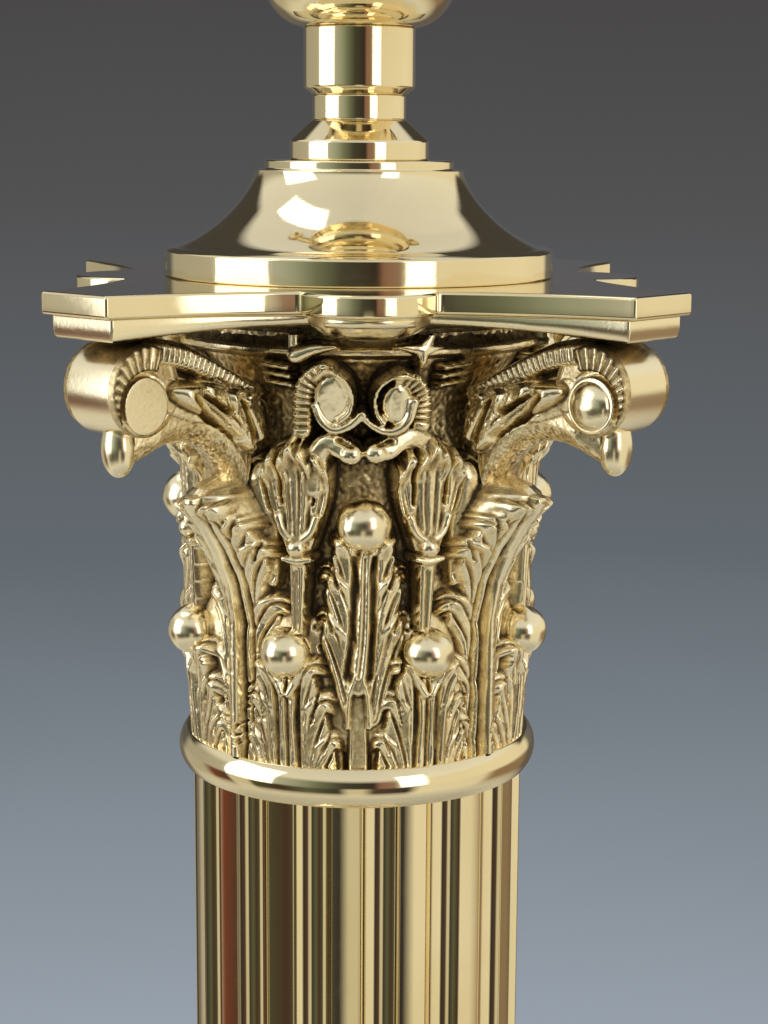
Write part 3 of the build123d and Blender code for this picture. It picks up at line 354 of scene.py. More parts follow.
def neighbours(field, axis, wraps):
    """The field's next and previous cell along an axis. Without wrapping, an edge is its own neighbour."""
    ahead, behind = np.roll(field, -1, axis), np.roll(field, 1, axis)
    if not wraps:
        edge = [slice(None)] * field.ndim
        for end, moved in ((-1, ahead), (0, behind)):
            edge[axis] = end
            moved[tuple(edge)] = field[tuple(edge)]
    return ahead, behind


def smoothed(field, passes, wrap=AROUND):
    """The field blurred a little, several times over."""
    for _ in range(passes):
        for axis in (0, 1):
            ahead, behind = neighbours(field, axis, wrap[axis])
            field = (ahead + behind + 2 * field) / 4
    return field


def grid_normals(points):
    """Normals of a grid of points that wraps round its columns, on the side that grid_faces shows."""
    down, across = (np.subtract(*neighbours(points, axis, AROUND[axis])) for axis in (0, 1))
    normal = np.cross(across, down)
    return normal / np.maximum(np.linalg.norm(normal, axis=-1, keepdims=True), 1e-9)


# Its result darkens the cast brass, as patina and as painted shade in the hollows.
def hollowness(points, normals):
    """How deep a point of a grid lies below its surroundings, near and far, from -1 to 1."""
    depths = [((smoothed(points, passes) - points) * normals).sum(-1) for passes in (NEAR_PASSES, FAR_PASSES)]
    near, far = (np.clip(depth / full, -1, 1) for depth, full in zip(depths, (NEAR_FULL, FAR_FULL)))
    return near * NEAR_SHARE + far * (1 - NEAR_SHARE)


def grain(shape, passes, wrap=AROUND):
    """Random unevenness of a casting, about -1 to 1."""
    noise = smoothed(rng.standard_normal(shape), passes, wrap)
    return noise / noise.std() / 2.5


# ---- Materials
class Graph:
    """Writes the nodes of a material or a world."""

    def __init__(self, owner):
        owner.use_nodes = True
        self.tree = owner.node_tree

    def feed(self, socket, value):
        """Links an output to a socket, or gives the socket a value."""
        if isinstance(value, bpy.types.NodeSocket):
            self.tree.links.new(value, socket)
        else:
            socket.default_value = value

    def node(self, kind, settings=(), **inputs):
        node = self.tree.nodes.new("ShaderNode" + kind)
        for key, value in dict(settings).items():
            setattr(node, key, value)
        for key, value in inputs.items():
            self.feed(node.inputs[key], value)
        return node

    def ramp(self, value, stops):
        """The value as a colour, blended between stops (position, colour or grey)."""
        node = self.node("ValToRGB", Fac=value)
        marks = node.color_ramp.elements
        while len(marks) < len(stops):
            marks.new(0.5)
        for mark, (position, colour) in zip(marks, stops):
            mark.position = position
            mark.color = (*np.broadcast_to(colour, 3), 1)
        return node.outputs["Color"]

    def maths(self, operation, *values):
        node = self.node("Math", {"operation": operation})
        for socket, value in zip(node.inputs, values):
            self.feed(socket, value)
        return node.outputs[0]

    def mix(self, share, first, second):
        return self.node("MixRGB", Fac=share, Color1=first, Color2=second).outputs[0]

    def mix_shader(self, share, first, second):
        node = self.node("MixShader", Fac=share)
        self.feed(node.inputs[1], first)
        self.feed(node.inputs[2], second)
        return node.outputs[0]


class Paint(Graph):
    """Writes one node material. Patterns run over the piece's own coordinates, in metres."""

    def __init__(self, name, **values):
        self.material = bpy.data.materials.new(name)
        super().__init__(self.material)
        self.surface = self.tree.nodes["Principled BSDF"]
        for socket, value in values.items():
            self.surface.inputs[socket.replace("_", " ")].default_value = value
        self.place = self.node("TexCoord").outputs["Object"]

    def noise(self, scale, detail=3.0, stretch=(1, 1, 1), roughness=0.55):
        """Soft noise of about the given number of lumps a metre."""
        place = self.node("Mapping", Vector=self.place, Scale=stretch).outputs[0]
        return self.node("TexNoise", Vector=place, Scale=scale, Detail=detail, Roughness=roughness).outputs[0]

    def span(self, value, start, end, low_value, high_value):
        """The value from start to end becomes a number from low_value to high_value."""
        node = self.node("MapRange", Value=value)
        for i, number in enumerate((start, end, low_value, high_value)):
            node.inputs[i + 1].default_value = number
        return node.outputs[0]

    def bump(self, height, depth, strength=1.0, after=None):
        """Normal of a surface that rises by the height times a depth in metres."""
        node = self.node("Bump", Height=height, Distance=depth, Strength=strength)
        if after is not None:
            self.feed(node.inputs["Normal"], after)
        return node.outputs[0]

    def finish(self, colour=None, roughness=None, normal=None, metallic=None):
        """The material, with what is given fed to its surface."""
        for socket, value in (("Base Color", colour), ("Roughness", roughness), ("Normal", normal),
                              ("Metallic", metallic)):
            if value is not None:
                self.feed(self.surface.inputs[socket], value)
        return self.material


def polished(name, smooth, rough, grain_stretch=(1, 1, 40), scratch=0.000004):
    """Polished brass: slow change of tone, fingered haze, and fine marks along the lathe's turn."""
    paint = Paint(name, Metallic=1.0)
    tone = paint.ramp(paint.noise(38, 4), [(0.32, (0.87, 0.75, 0.49)), (0.62, (0.93, 0.82, 0.575))])
    haze = paint.span(paint.noise(170, 5), 0.42, 0.72, smooth, rough)
    marks = paint.bump(paint.noise(90, 4, grain_stretch, 0.7), scratch)
    waves = paint.bump(paint.noise(55, 1), 0.00002, 0.5, marks)
    return paint.finish(tone, haze, waves)


def cast_brass(name):
    """Cast brass: bright on what stands out, brown and grainy in the hollows, where real patina and painted shade
    darken it. Reads the attribute of patina and painted shade, -1 to 1.
    """
    paint = Paint(name)
    patina_and_shade = paint.node("Attribute", {"attribute_name": "patina_and_shade"}).outputs["Fac"]
    coarse = paint.noise(330, 4)
    fine = paint.noise(1500, 3, roughness=0.65)
    mottled = paint.maths("ADD", paint.maths("MULTIPLY", coarse, 0.55), paint.maths("MULTIPLY", fine, 0.45))
    depth = paint.maths("ADD", paint.maths("MULTIPLY", patina_and_shade, 0.5), mottled)
    colour = paint.ramp(depth, [(0.30, (0.96, 0.86, 0.62)), (0.50, (0.82, 0.68, 0.42)),
                                (0.68, (0.46, 0.345, 0.18)), (0.90, (0.06, 0.043, 0.024))])
    roughness = paint.span(depth, 0.3, 0.8, 0.2, 0.5)
    metallic = paint.span(depth, 0.7, 1.0, 1.0, 0.6)
    pits = paint.bump(fine, 0.00009, paint.span(depth, 0.3, 0.7, 0.15, 1.0))
    hammered = paint.bump(coarse, 0.00016, paint.span(depth, 0.12, 0.45, 0.04, 0.6), pits)
    return paint.finish(colour, roughness, hammered, metallic)


def plain(name, light, dark, smooth, rough, scale, depth, metallic=0.0, stretch=(1, 1, 1), **values):
    """Everyday finish: two tones, uneven roughness and a bump of one grain."""
    paint = Paint(name, Metallic=metallic, **values)
    grains = paint.noise(scale, 4, stretch)
    tone = paint.ramp(grains, [(0.35, dark), (0.65, light)])
    haze = paint.span(paint.noise(scale / 6, 3), 0.35, 0.7, smooth, rough)
    return paint.finish(tone, haze, paint.bump(grains, depth))


BRASS = polished("polished_brass", 0.035, 0.10)
SHAFT_BRASS = polished("shaft_brass", 0.03, 0.09, (6, 6, 0.5), 0.0000015)
PLATE_BRASS = polished("plate_brass", 0.05, 0.16, (1, 1, 1), 0.000008)
CAST = cast_brass("cast_brass")
CONTACT = plain("contact_brass", (0.72, 0.56, 0.30), (0.58, 0.43, 0.21), 0.25, 0.45, 900, 0.00001, 1.0)
TINNED = plain("tinned_brass", (0.74, 0.73, 0.70), (0.60, 0.59, 0.57), 0.3, 0.5, 700, 0.00001, 1.0)
ZINC = plain("zinc_steel", (0.66, 0.65, 0.62), (0.52, 0.52, 0.52), 0.25, 0.45, 600, 0.00001, 1.0)
SPRING = plain("spring_steel", (0.50, 0.49, 0.47), (0.38, 0.37, 0.36), 0.25, 0.4, 900, 0.00001, 1.0)
PAINTED = plain("painted_steel", (0.035, 0.035, 0.036), (0.02, 0.02, 0.021), 0.35, 0.6, 500, 0.00003)
IRON = plain("cast_iron", (0.12, 0.115, 0.11), (0.06, 0.055, 0.055), 0.6, 0.85, 260, 0.0004)
BLACK = plain("black_plastic", (0.035, 0.034, 0.034), (0.022, 0.022, 0.023), 0.3, 0.5, 800, 0.00002)
GLAZED = plain("insulator", (0.86, 0.84, 0.78), (0.80, 0.77, 0.70), 0.12, 0.3, 300, 0.00002)


def felt():
    """Green baize: tangled fibres."""
    paint = Paint("felt", Roughness=0.95, Sheen_Weight=0.4)
    fibres = paint.noise(1400, 6, (1, 0.25, 1), 0.8)
    crossed = paint.noise(1400, 6, (0.25, 1, 1), 0.8)
    tangle = paint.maths("MAXIMUM", fibres, crossed)
    tone = paint.ramp(tangle, [(0.4, (0.012, 0.05, 0.022)), (0.7, (0.03, 0.115, 0.05))])
    return paint.finish(tone, None, paint.bump(tangle, 0.0004))


FELT = felt()


# ---- Outlines
def outline(*parts, edge=EDGE):
    """Closed outline. A point is a corner to round, a list is a curve whose points stay."""
    points, corner = [], []
    for part in parts:
        curved = isinstance(part, list)
        points += part if curved else [part]
        corner += [not curved] * (len(part) if curved else 1)
    points = [np.array(p, float) for p in points]
    result = []
    for i, here in enumerate(points):
        if not corner[i]:
            result.append(here)
            continue
        before = points[i - 1] - here
        after = points[(i + 1) % len(points)] - here
        reach = min(edge, 0.45 * np.linalg.norm(before), 0.45 * np.linalg.norm(after))
        start = here + before / np.linalg.norm(before) * reach
        end = here + after / np.linalg.norm(after) * reach
        result += [(1 - t) ** 2 * start + 2 * t * (1 - t) * here + t ** 2 * end for t in (0.0, 0.3, 0.7, 1.0)]
    return np.array(result)


def through(start, middle, end, steps=20):
    """Arc through three points, as a list without its two ends."""
    a, b, c = np.array((start, middle, end), float)
    centre = np.linalg.solve(2 * np.array((b - a, c - a)), (b @ b - a @ a, c @ c - a @ a))
    angles = np.unwrap([np.arctan2(*(point - centre)[::-1]) for point in (a, b, c)])
    return [centre + np.linalg.norm(a - centre) * np.array((cos(t), sin(t)))
            for t in np.linspace(angles[0], angles[2], steps + 1)[1:-1]]


def inward(ring, distance):
    """Ring moved inwards along its own normals."""
    along = np.roll(ring, -1, 0) - np.roll(ring, 1, 0)
    normal = np.column_stack([-along[:, 1], along[:, 0]]) / np.linalg.norm(along, axis=1)[:, None]
    return ring + normal * np.broadcast_to(distance, len(ring))[:, None]


def at_radius(ring, radius):
    """Circle with a point on the bearing of each point of a ring."""
    return ring / np.linalg.norm(ring, axis=1)[:, None] * radius


def turned(name, node, profile, material=BRASS, foot=None, turns=TURNS):
    """Turned piece from a closed outline in (radius, height above its foot)."""
    foot = low(node) if foot is None else foot
    radius = np.repeat(profile[:, :1], turns, axis=1)
    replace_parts(swept(name, radius, profile[:, 1:] + foot, material), node)


# ---- Base
def square_ring(name, node, profile):
    """Square hollow piece from a closed outline in (out from the axis, height above its foot)."""
    foot = low(node)
    extruded(name, [flat_ring(rounded_square(out, TIER_CORNER if out > 12 else out), foot + height)
                    for out, height in profile], BRASS, node)


def tier(name, node, side, edge, top, ledge, cavity):
    """Square tier: upright face, bevel, hollow moulding and ledge, with the outline of its cavity."""
    out = side / 2 - TIER_BEVEL
    cove = [(out - (out - ledge) * sin(t), top - (top - edge) * cos(t)) for t in np.linspace(0, pi / 2, 22)[1:-1]]
    square_ring(name, node, outline((side / 2, 0), (side / 2, edge - TIER_BEVEL), (out, edge), cove, (ledge, top),
                                    (TUBE_HOLE, top), (TUBE_HOLE, top - 3), *cavity))


tier("lower_tier", "plinth_lower_tier", side=150, edge=19, top=28, ledge=64,
     cavity=((61, 25), (61, 16), (72, 16), (72, 0)))
tier("upper_tier", "plinth_upper_tier", side=122, edge=8, top=18, ledge=45, cavity=((42, 15), (42, 0)))
square_ring("block", "base_block", outline(
    (42, 0), (42, 8.2), (41.2, 9), (TUBE_HOLE, 9), (TUBE_HOLE, 6), (39, 6), (39, 0)))


# ---- Column
def fluted_section():
    """The shaft's section, anticlockwise from a flat between two flutes."""
    half = radians(FLUTE_ANGLE / 2)
    chord = COLUMN_RADIUS * sin(half)
    cutter = (chord ** 2 + FLUTE_DEPTH ** 2) / (2 * FLUTE_DEPTH)
    centre = COLUMN_RADIUS * cos(half) - FLUTE_DEPTH + cutter
    sweep = np.arcsin(chord / cutter)
    parts = []
    for flute in range(FLUTES):
        middle = FRONT + radians(FILLET_PHASE) + (flute + 0.5) * 2 * pi / FLUTES
        flat_end = middle - half
        flat_start = flat_end - (2 * pi / FLUTES - 2 * half)
        flat = [(COLUMN_RADIUS * cos(a), COLUMN_RADIUS * sin(a)) for a in np.linspace(flat_start, flat_end, 7)]
        axis = np.array((cos(middle), sin(middle)))
        across = np.array((-sin(middle), cos(middle)))
        hollow = [axis * (centre - cutter * cos(t)) + across * cutter * sin(t)
                  for t in np.linspace(-sweep, sweep, 25)]
        parts += [flat[0], flat[1:-1], flat[-1], hollow[1:-1]]
    return outline(*parts, edge=0.16)


turned("turned_base", "column_base", outline(
    (TUBE_HOLE, 0), (8.2, 0), (8.2, 23), (19.6, 23), (19.6, 0), (35, 0),
    through((35, 0), (39.5, 4.5), (35, 9)), (35, 9), (35, 10.5),
    through((35, 10.5), (28.6, 15.3), (29.5, 18.5)), (29.5, 18.5), (29.5, 20),
    through((29.5, 20), (32.5, 23), (29.5, 26)), (29.5, 26), (20.9, 26), (20.9, 30), (TUBE_HOLE, 30)))
section = fluted_section()
bore = at_radius(section, SHAFT_BORE)
foot, head = low("column_shaft"), high("column_shaft")
extruded("fluted_shaft", [flat_ring(section, foot), flat_ring(section, head), flat_ring(bore, head),
                          flat_ring(bore, foot)], SHAFT_BRASS, "column_shaft")
turned("half_round_ring", "astragal_ring", outline(
    (TUBE_HOLE, 0), (20.9, 0), (20.9, 4), (RING_EDGE, 4),
    through((RING_EDGE, 4), (RING_REACH, 6.95), (RING_EDGE, 9.9)), (RING_EDGE, 9.9), (17.4, 9.9), (17.4, 13.9),
    (TUBE_HOLE, 13.9)))


# ---- Plate, dome and neck
def plate_outline(inset=0.0, steps=36):
    """Outline of the plate: hollow sides with a round tab each, and cut corners."""
    out, into, waist = PLATE_OUT - inset, PLATE_IN - inset * (sqrt(2) - 1), PLATE_WAIST - inset
    sag = out - waist
    radius = (into ** 2 + sag ** 2) / (2 * sag)
    centre = waist + radius
    tab = TAB_RADIUS - inset
    tab_centre = TAB_REACH - TAB_RADIUS
    meet = (centre ** 2 - tab_centre ** 2 - radius ** 2 + tab ** 2) / (2 * (centre - tab_centre))
    meet_x = sqrt(tab ** 2 - (meet - tab_centre) ** 2)
    side = [(x, sqrt(radius ** 2 - x ** 2) - centre) for x in np.linspace(-into, -meet_x, steps)]
    start = np.arctan2(meet - tab_centre, meet_x)
    bow = [(-tab * cos(a), -tab_centre - tab * sin(a)) for a in np.linspace(start, pi - start, 2 * steps)]
    front = side + bow[1:-1] + [(-x, y) for x, y in side[::-1]]
    parts = []
    for turn in range(4):
        first, *curved, last = quarter_turned(front, turn)
        parts += [first, curved, last]
    return outline(*parts, edge=0.5)


edge_ring = plate_outline()
face_ring = inward(edge_ring, 0.5)
half_plate = [(at_radius(edge_ring, TUBE_HOLE), 0), (face_ring * 0.92, 0), (face_ring, 0),
              (inward(edge_ring, 0.28), 0.05), (inward(edge_ring, 0.06), 0.22), (edge_ring, 0.5)]
extruded("plate", [flat_ring(ring, PLATE_TOP - PLATE_THICKNESS + rise) for ring, rise in half_plate]
         + [flat_ring(ring, PLATE_TOP - drop) for ring, drop in half_plate[::-1]], PLATE_BRASS, "abacus_plate")

flare = [(28.8 - 12.9 * cos(t) ** (4 / 3), 15.9 - 11.6 * sin(t) ** (4 / 3))
         for t in np.linspace(pi / 2, 0, 60)[1:]]
turned("flared_dome", "dome_cap", outline(
    (TUBE_HOLE, 17.36), (TUBE_HOLE, 14), (13.9, 14), (18.4, 7), (27.7, 1.9), (27.7, 0), (29.7, 0), (29.7, 3.9),
    flare, (14.4, 15.95), (14.4, 17.36)), foot=PLATE_TOP, turns=256)
turned("flange", "neck_flange", outline((TUBE_HOLE, 0), (10.6, 0), (10.6, 2.84), (7.1, 5.94), (TUBE_HOLE, 5.94)))
turned("narrow_ring", "neck_ring", outline((TUBE_HOLE, 0), (7.1, 0), (7.1, 3.75), (TUBE_HOLE, 3.75)))
turned("plain_collar", "collar", outline((5.05, 0), (7.1, 0), (8.45, 1.05), (8.45, 9.95), (5.05, 9.95)))


# ---- Lampholder
def threaded_skirt():
    """Sleeve with its bead and shoulder, and a screw thread up its outside."""
    bead = low("holder_skirt") + 5
    head = high("holder_skirt") - bead
    profile = outline(
        (13.2, 4), (12.9, 4), (12.9, -5), (13.8, -5), (13.8, 0), (14.75, 0),
        through((14.75, 0), (15.4, 1), (14.75, 2)), (17.5, 2), (17.5, 4), (SKIRT_RADIUS, 4),
        [(SKIRT_RADIUS, level) for level in np.linspace(4.6, head - 0.4, 84)], (SKIRT_RADIUS, head), (13.2, head))
    radius, height = profile[:, :1], profile[:, 1:]
    phase = (height + bead) / THREAD_PITCH - full_turn(144) / (2 * pi)
    thread = THREAD_DEPTH * np.clip(1.1 * (0.5 - 0.5 * np.cos(2 * pi * phase)), 0, 1)
    fade = np.clip((height - 5) / 1.2, 0, 1) * np.clip((head - 0.6 - height) / 1.0, 0, 1)
    reach = radius - np.where(radius == SKIRT_RADIUS, thread * fade, 0.0)
    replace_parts(swept("threaded_skirt", reach, height + bead, BRASS), "holder_skirt")


def knurled_ring():
    """Shade ring with a knurled rim."""
    profile = outline(
        (14.05, 0), (18.9, 0), (19.5, 0.6), [(19.5, level) for level in np.linspace(0.9, 1.6, 5)],
        (19.5, 2.2), (16.4, 2.2), (16.4, 5), (14.05, 5), edge=0.35)
    radius, height = profile[:, :1], profile[:, 1:]
    knurl = KNURL_DEPTH * (1 - np.abs(np.sin(KNURLS / 2 * full_turn(8 * KNURLS))) ** 0.7)
    reach = radius - np.where(radius > 18.7, knurl, 0.0)
    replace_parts(swept("knurled_ring", reach, height + low("shade_ring"), BRASS, "shade_ring"), "shade_ring")


def coil(side):
    """Spring under a contact plunger, drawn as a coil of wire at its length at rest."""
    node = f"plunger_spring_{side}"
    start, end = (np.array(corner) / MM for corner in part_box(node))
    middle = (start + end) / 2
    turn = 2 * pi * SPRING_TURNS * np.linspace(0, 1, 24 * SPRING_TURNS + 1)[:, None]
    angle = -full_turn(10)
    radius = (end[0] - start[0]) / 2 - SPRING_WIRE + SPRING_WIRE * np.cos(angle)
    climb = (end[2] - start[2] - 2 * SPRING_WIRE) / (2 * pi * SPRING_TURNS)
    points = np.stack([middle[0] + radius * np.cos(turn), middle[1] + radius * np.sin(turn),
                       start[2] + SPRING_WIRE + climb * turn + SPRING_WIRE * np.sin(angle)], -1)
    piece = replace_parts(add_mesh(f"coil_{side}", points, capped_faces(*points.shape[:2]), SPRING), node)
    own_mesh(piece)


threaded_skirt()
knurled_ring()
for side in ("left", "right"):
    coil(side)


# ---- Capital: the bell and its leaves
across_steps = np.arange(RELIEF_COLUMNS) * QUARTER / RELIEF_COLUMNS - QUARTER / 2
up_steps = np.linspace(BELL_FOOT, BELL_HEAD, RELIEF_ROWS)
ACROSS, UP = np.meshgrid(across_steps, up_steps)
bell_ground = BELL + 3.6 * np.clip((UP + 22) / 11.6, 0, 1) ** 2.5
face = Relief(ACROSS, UP, bell_ground, QUARTER)


def beside(x, side, *points):
    """Points on the bell from points (distance out from x, height) on one side of it."""
    return [(x + side * out, level) for out, level in points]


def lobes(x, side, *leaflets):
    """Lobes of a leaf on one side of x, each (half width, fingers, rise, its points)."""
    for half, fingers, rise, *points in leaflets:
        face.lobe(beside(x, side, *points), half, fingers, rise)


def arm_feet():
    """Feet of the scroll arms, which come down between the corner leaves and the cups."""
    for side in (-1, 1):
        face.ridge(beside(side * CORNER, -side, (6.2, -43), (5.6, -36), (4.6, -28)), (1.3, 3.4), (2.6, 4.6))


def corner_leaf():
    """Big leaf that curls out under a corner scroll: its middle and half width follow the height."""
    middle = np.interp(UP, (BELL_FOOT, -50, -44, -38.6, -34.5, -32.6, -31.2, -30.0, -29.0, -28.0, -27.2, -26.4),
                       (26.4, 26.5, 27.8, 30.3, 32.9, 34.5, 35.3, 35.2, 34.0, 31.0, 28.0, BELL))
    half = np.interp(UP, (BELL_FOOT, -60, -50, -44, -38, -34, -32, -30.8, -29.5, -28.2, -26.4),
                     (8.6, 9.2, 9.6, 9.4, 8.6, 7.2, 6.0, 5.2, 4.6, 4.2, 3.0))
    apart = CORNER - np.abs(ACROSS)
    share = np.clip(apart / half, 0, 1)
    curled = np.clip((middle - 27.0) / 9.0, 0, 1)
    blade = BELL + (middle - BELL) * (1 - share ** 2.4) ** (1 - 0.45 * curled) - 1.6 * (1 - curled) * (share > 0)
    ground = face.ground
    blade = np.where(apart < half, np.maximum(blade, ground), ground)
    face.height = np.maximum(face.height, blade)
    face.ground = blade
    for side in (-1, 1):
        x = side * CORNER
        for foot, out, width in ((-76, 8.2, 2.6), (-67, 9.4, 2.7), (-58, 9.3, 2.7), (-49.5, 8.6, 2.6)):
            lobes(x, -side,
                  (width, 3, 1.7, (2.6, foot), (3.4, foot + 6), (out - 2.6, foot + 10.6), (out, foot + 9.6)))
        lobes(x, -side, (2.2, 3, 1.6, (2.4, -43.5), (3.0, -39), (4.8, -34.8), (6.6, -34.6)),
              (1.7, 2, 1.5, (1.3, -39), (2.0, -34), (3.6, -30.6)))
        face.groove(beside(x, -side, (2.6, BELL_FOOT), (2.6, -50), (2.5, -40), (2.1, -34)), (0.5, 0.35), 1.4)
        face.ridge(beside(x, -side, (1.75, BELL_FOOT), (1.75, -50), (1.7, -40), (1.4, -33)), (0.42, 0.35), (0.9, 0.7),
                   ribs=42, rib_height=0.3)
        face.groove(beside(x, -side, (1.2, BELL_FOOT), (1.2, -50), (1.1, -40), (0.9, -33)), (0.2, 0.18), 0.5)
    rib = np.clip(1 - (apart / 0.95) ** 4, 0, 1) ** 0.5
    face.raise_to(..., (apart < 0.95) & (UP < -30.2), middle + 1.15 * rib)
    face.ground = ground


def lower_leaf(x):
    """Short leaf with its two stalks, under a ball."""
    ground = face.ground
    face.swell([(x, -74), (x, -62), (x, -54.5)], (9.0, 7.0), (2.0, 2.4))
    for side in (-1, 1):
        lobes(x, side, (2.4, 3, 1.2, (3.0, -77), (4.6, -71.5), (6.9, -67.2), (8.8, -68.4)),
              (2.7, 3, 1.5, (2.2, -74), (3.2, -67), (5.4, -61.2), (7.8, -62.6)),
              (2.1, 3, 2.1, (1.9, -70), (2.0, -62), (3.9, -55.8), (6.2, -56.6)))
        face.groove(beside(x, side, (1.75, BELL_FOOT), (1.75, -58.5)), (0.4, 0.4), 1.2)
    face.ground = ground
    for side in (-1, 1):
        face.ridge(beside(x, side, (0.744, -71), (0.62, -64), (0.62, -57.5)), (0.62, 0.58), (3.2, 3.9))
    for side in (-1, 1):
        face.ridge(beside(x, side, (0.5, -59.5), (2.7, -55.6)), (0.6, 0.9), (4.6, 4.2))


def tall_leaf():
    """Leaf in the middle of a face: a polished stalk with lobes on both sides."""
    ground = face.ground
    face.swell([(-0.6, -62), (-0.3, -50), (0, -37)], (7.5, 5.0), (1.8, 2.4))
    for side in (-1, 1):
        lobes(-0.3, side, (2.6, 3, 1.6, (1.4, -63), (3.0, -55), (5.6, -49.0), (7.7, -49.8)),
              (2.6, 3, 2.0, (1.2, -55.5), (2.7, -47.8), (5.2, -42.2), (7.2, -43.0)),
              (2.1, 2, 2.2, (1.1, -48), (2.1, -41.5), (3.8, -36.8), (5.4, -37.4)))
    face.ground = ground
    foot = np.clip((1.35 + (-57 - UP) * 0.03 - np.abs(ACROSS + 1)) / 0.35, 0, 1) * (UP < -56)
    raised = np.maximum(face.height - 0.6 * foot, face.ground + 2.4 * foot)
    face.height = np.where(foot > 0, raised, face.height)
    for side in (-1, 1):
        face.ridge(beside(-1, side, (0.4, -56.4), (1.3, -59.5), (1.7, -64.5)), (0.45, 0.4), (3.8, 3.0))
        face.groove([(side * 1.35 - 0.1, -39), (side * 1.5 - 0.4, -50), (side * 1.8 - 1, -57)], (0.45, 0.45), 1.3)
    face.ridge([(0, -37), (-0.3, -50), (-1, -58.5)], (0.85, 1.15), (3.9, 3.7), flat=1.5)
    face.groove([(-0.1, -39), (-0.3, -50), (-0.9, -56.5)], (0.22, 0.3), 0.5)


def calyx(x):
    """Leafy cup on its ringed stem, from which the small scrolls grow."""
    face.ridge([(x, -39.2), (x - 0.3, -51.5)], (1.5, 1.0), (4.2, 3.6), flat=1.4)
    face.groove([(x - 0.2, -41), (x - 0.4, -50)], (0.25, 0.2), 0.5)
    face.ridge([(x - 1.9, -39.2), (x, -39.5), (x + 1.9, -39.2)], (0.6, 0.6), (4.8, 4.8))
    face.dome((x, -37.5), 1.5, 5.6)
    sepal = {"vein": 0.7, "root_share": 0.7, "lift": 0.2}
    for lean in (-3.1, 3.1):
        face.lobe(beside(x, lean, (0.3, -37.2), (0.9, -30), (1, -22.4)), 2.1, 2, 4.9, **sepal)
        face.groove(beside(x, lean, (0.42, -34.5), (0.5, -29), (0.62, -24.5)), (0.4, 0.3), 1.1)
    face.lobe([(x, -37.2), (x, -30), (x, -20.4)], 2.4, 3, 5.6, **sepal)
    face.ridge([(x - 2.9, -33.0), (x - 1.9, -35.4), (x, -36.5), (x + 1.9, -35.4), (x + 2.9, -33.0)],
               (0.65, 0.65), (4.8, 4.8))


def helix(eye, size, rim, crescent, band, ribs, tail, slot):
    """Small scroll in the middle of a face, with its band and tail. Returns where it is polished."""
    face.ridge(band, (1.6, 1.4), (5.0, 5.8), flat=1.6, ribs=ribs, rib_height=0.9)
    gap = np.hypot((ACROSS - eye[0]) / size[0], (UP - eye[1]) / size[1])
    face.height = np.where(gap < 1, face.ground + 5.4 + 1.3 * np.clip(1 - gap ** 3, 0, 1) ** 0.5, face.height)
    face.ridge(tail, (1.8, 1.6), (5.0, 6.8), flat=1.5)
    face.dome(tail[-1], 1.7, 7.2)
    face.groove(slot, (0.3, 0.2), 1.3)
    face.ridge(rim, (0.35, 0.5), (6.9, 7.3), ribs=26, rib_height=0.25)
    face.ridge(crescent, (0.6, 0.8), (6.9, 7.3))
    for level in (-11.4, -12.7, -14.0):
        face.ridge(beside(0, np.sign(eye[0]), (10.6, level), (14.4, level + 0.4)), (0.5, 0.5), (3.2, 2.8))
    return gap < 0.93


def sprigs():
    """Curled leaf and star of tips between the small scrolls and the plate."""
    face.ridge([(-9.2, -9.4), (-7.0, -8.6), (-4.2, -8.2)], (1.5, 0.5), (3.6, 3.0))
    face.ridge([(-9.6, -6.2), (-9.7, -9.2)], (0.9, 0.8), (3.0, 3.0))
    for tip in ((3.8, -8.2), (8.9, -5.8), (7.1, -11.3), (9.8, -8.3)):
        face.ridge([(7.2, -8.6), tip], (1.2, 0.35), (3.6, 3.2))


arm_feet()
corner_leaf()
for x in LOWER_LEAVES:
    lower_leaf(x)
tall_leaf()
for x in CUPS:
    calyx(x)
polish = helix(
    eye=(-4.2, -15.8), size=(2.7, 3.8),
    rim=((-6.3, -12.6), (-4.9, -11.3), (-3.2, -12.1), (-2.2, -13.7), (-1.9, -15.6), (-2.4, -17.5), (-3.6, -18.6)),
    crescent=((-6.7, -16.5), (-5.8, -18.8), (-4.2, -19.9), (-2.3, -19.3), (-0.7, -17.7)),
    band=((-8.9, -20.2), (-8.8, -17.7), (-8.5, -15.4), (-7.8, -13.6), (-6.5, -12.2), (-5.2, -11.4)), ribs=10,
    tail=((-7.4, -28.5), (-6.9, -24.2), (-5.3, -22.0), (-3.5, -22.6), (-2.1, -23.4)),
    slot=((-3.7, -21.4), (-1.9, -22.2)))
polish |= helix(
    eye=(3.8, -16.3), size=(2.2, 3.1),
    rim=((5.4, -12.4), (4.2, -12.0), (2.7, -12.4), (1.4, -13.7), (0.9, -15.5), (1.2, -17.6), (2.0, -18.9)),
    crescent=((-0.7, -17.7), (0.4, -19.1), (2.2, -20.1), (4.0, -19.8), (5.3, -18.4), (5.8, -15.9)),
    band=((7.6, -19.2), (7.7, -17.0), (7.1, -14.9), (5.9, -13.3), (4.3, -12.5)), ribs=9,
    tail=((10.4, -26.0), (8.6, -22.4), (6.4, -21.2), (4.4, -21.6), (2.8, -22.8), (1.2, -23.2)),
    slot=((3.2, -21.6), (1.4, -22.0)))
sprigs()
rough = np.tile(np.clip(1 - (face.height - bell_ground) / 1.2, 0, 1), 4)
ring_height = np.tile(face.height, 4)
ring_height = smoothed(ring_height + grain(ring_height.shape, 3) * (0.035 + 0.10 * rough), 1)
turn_angle = FRONT + (np.arange(4 * RELIEF_COLUMNS) * QUARTER / RELIEF_COLUMNS - QUARTER / 2) / RELIEF_RADIUS
bell_points = np.stack([ring_height * np.cos(turn_angle), ring_height * np.sin(turn_angle),
                        np.tile(UP, 4) + PLATE_TOP], -1)
bell_normals = grid_normals(bell_points)
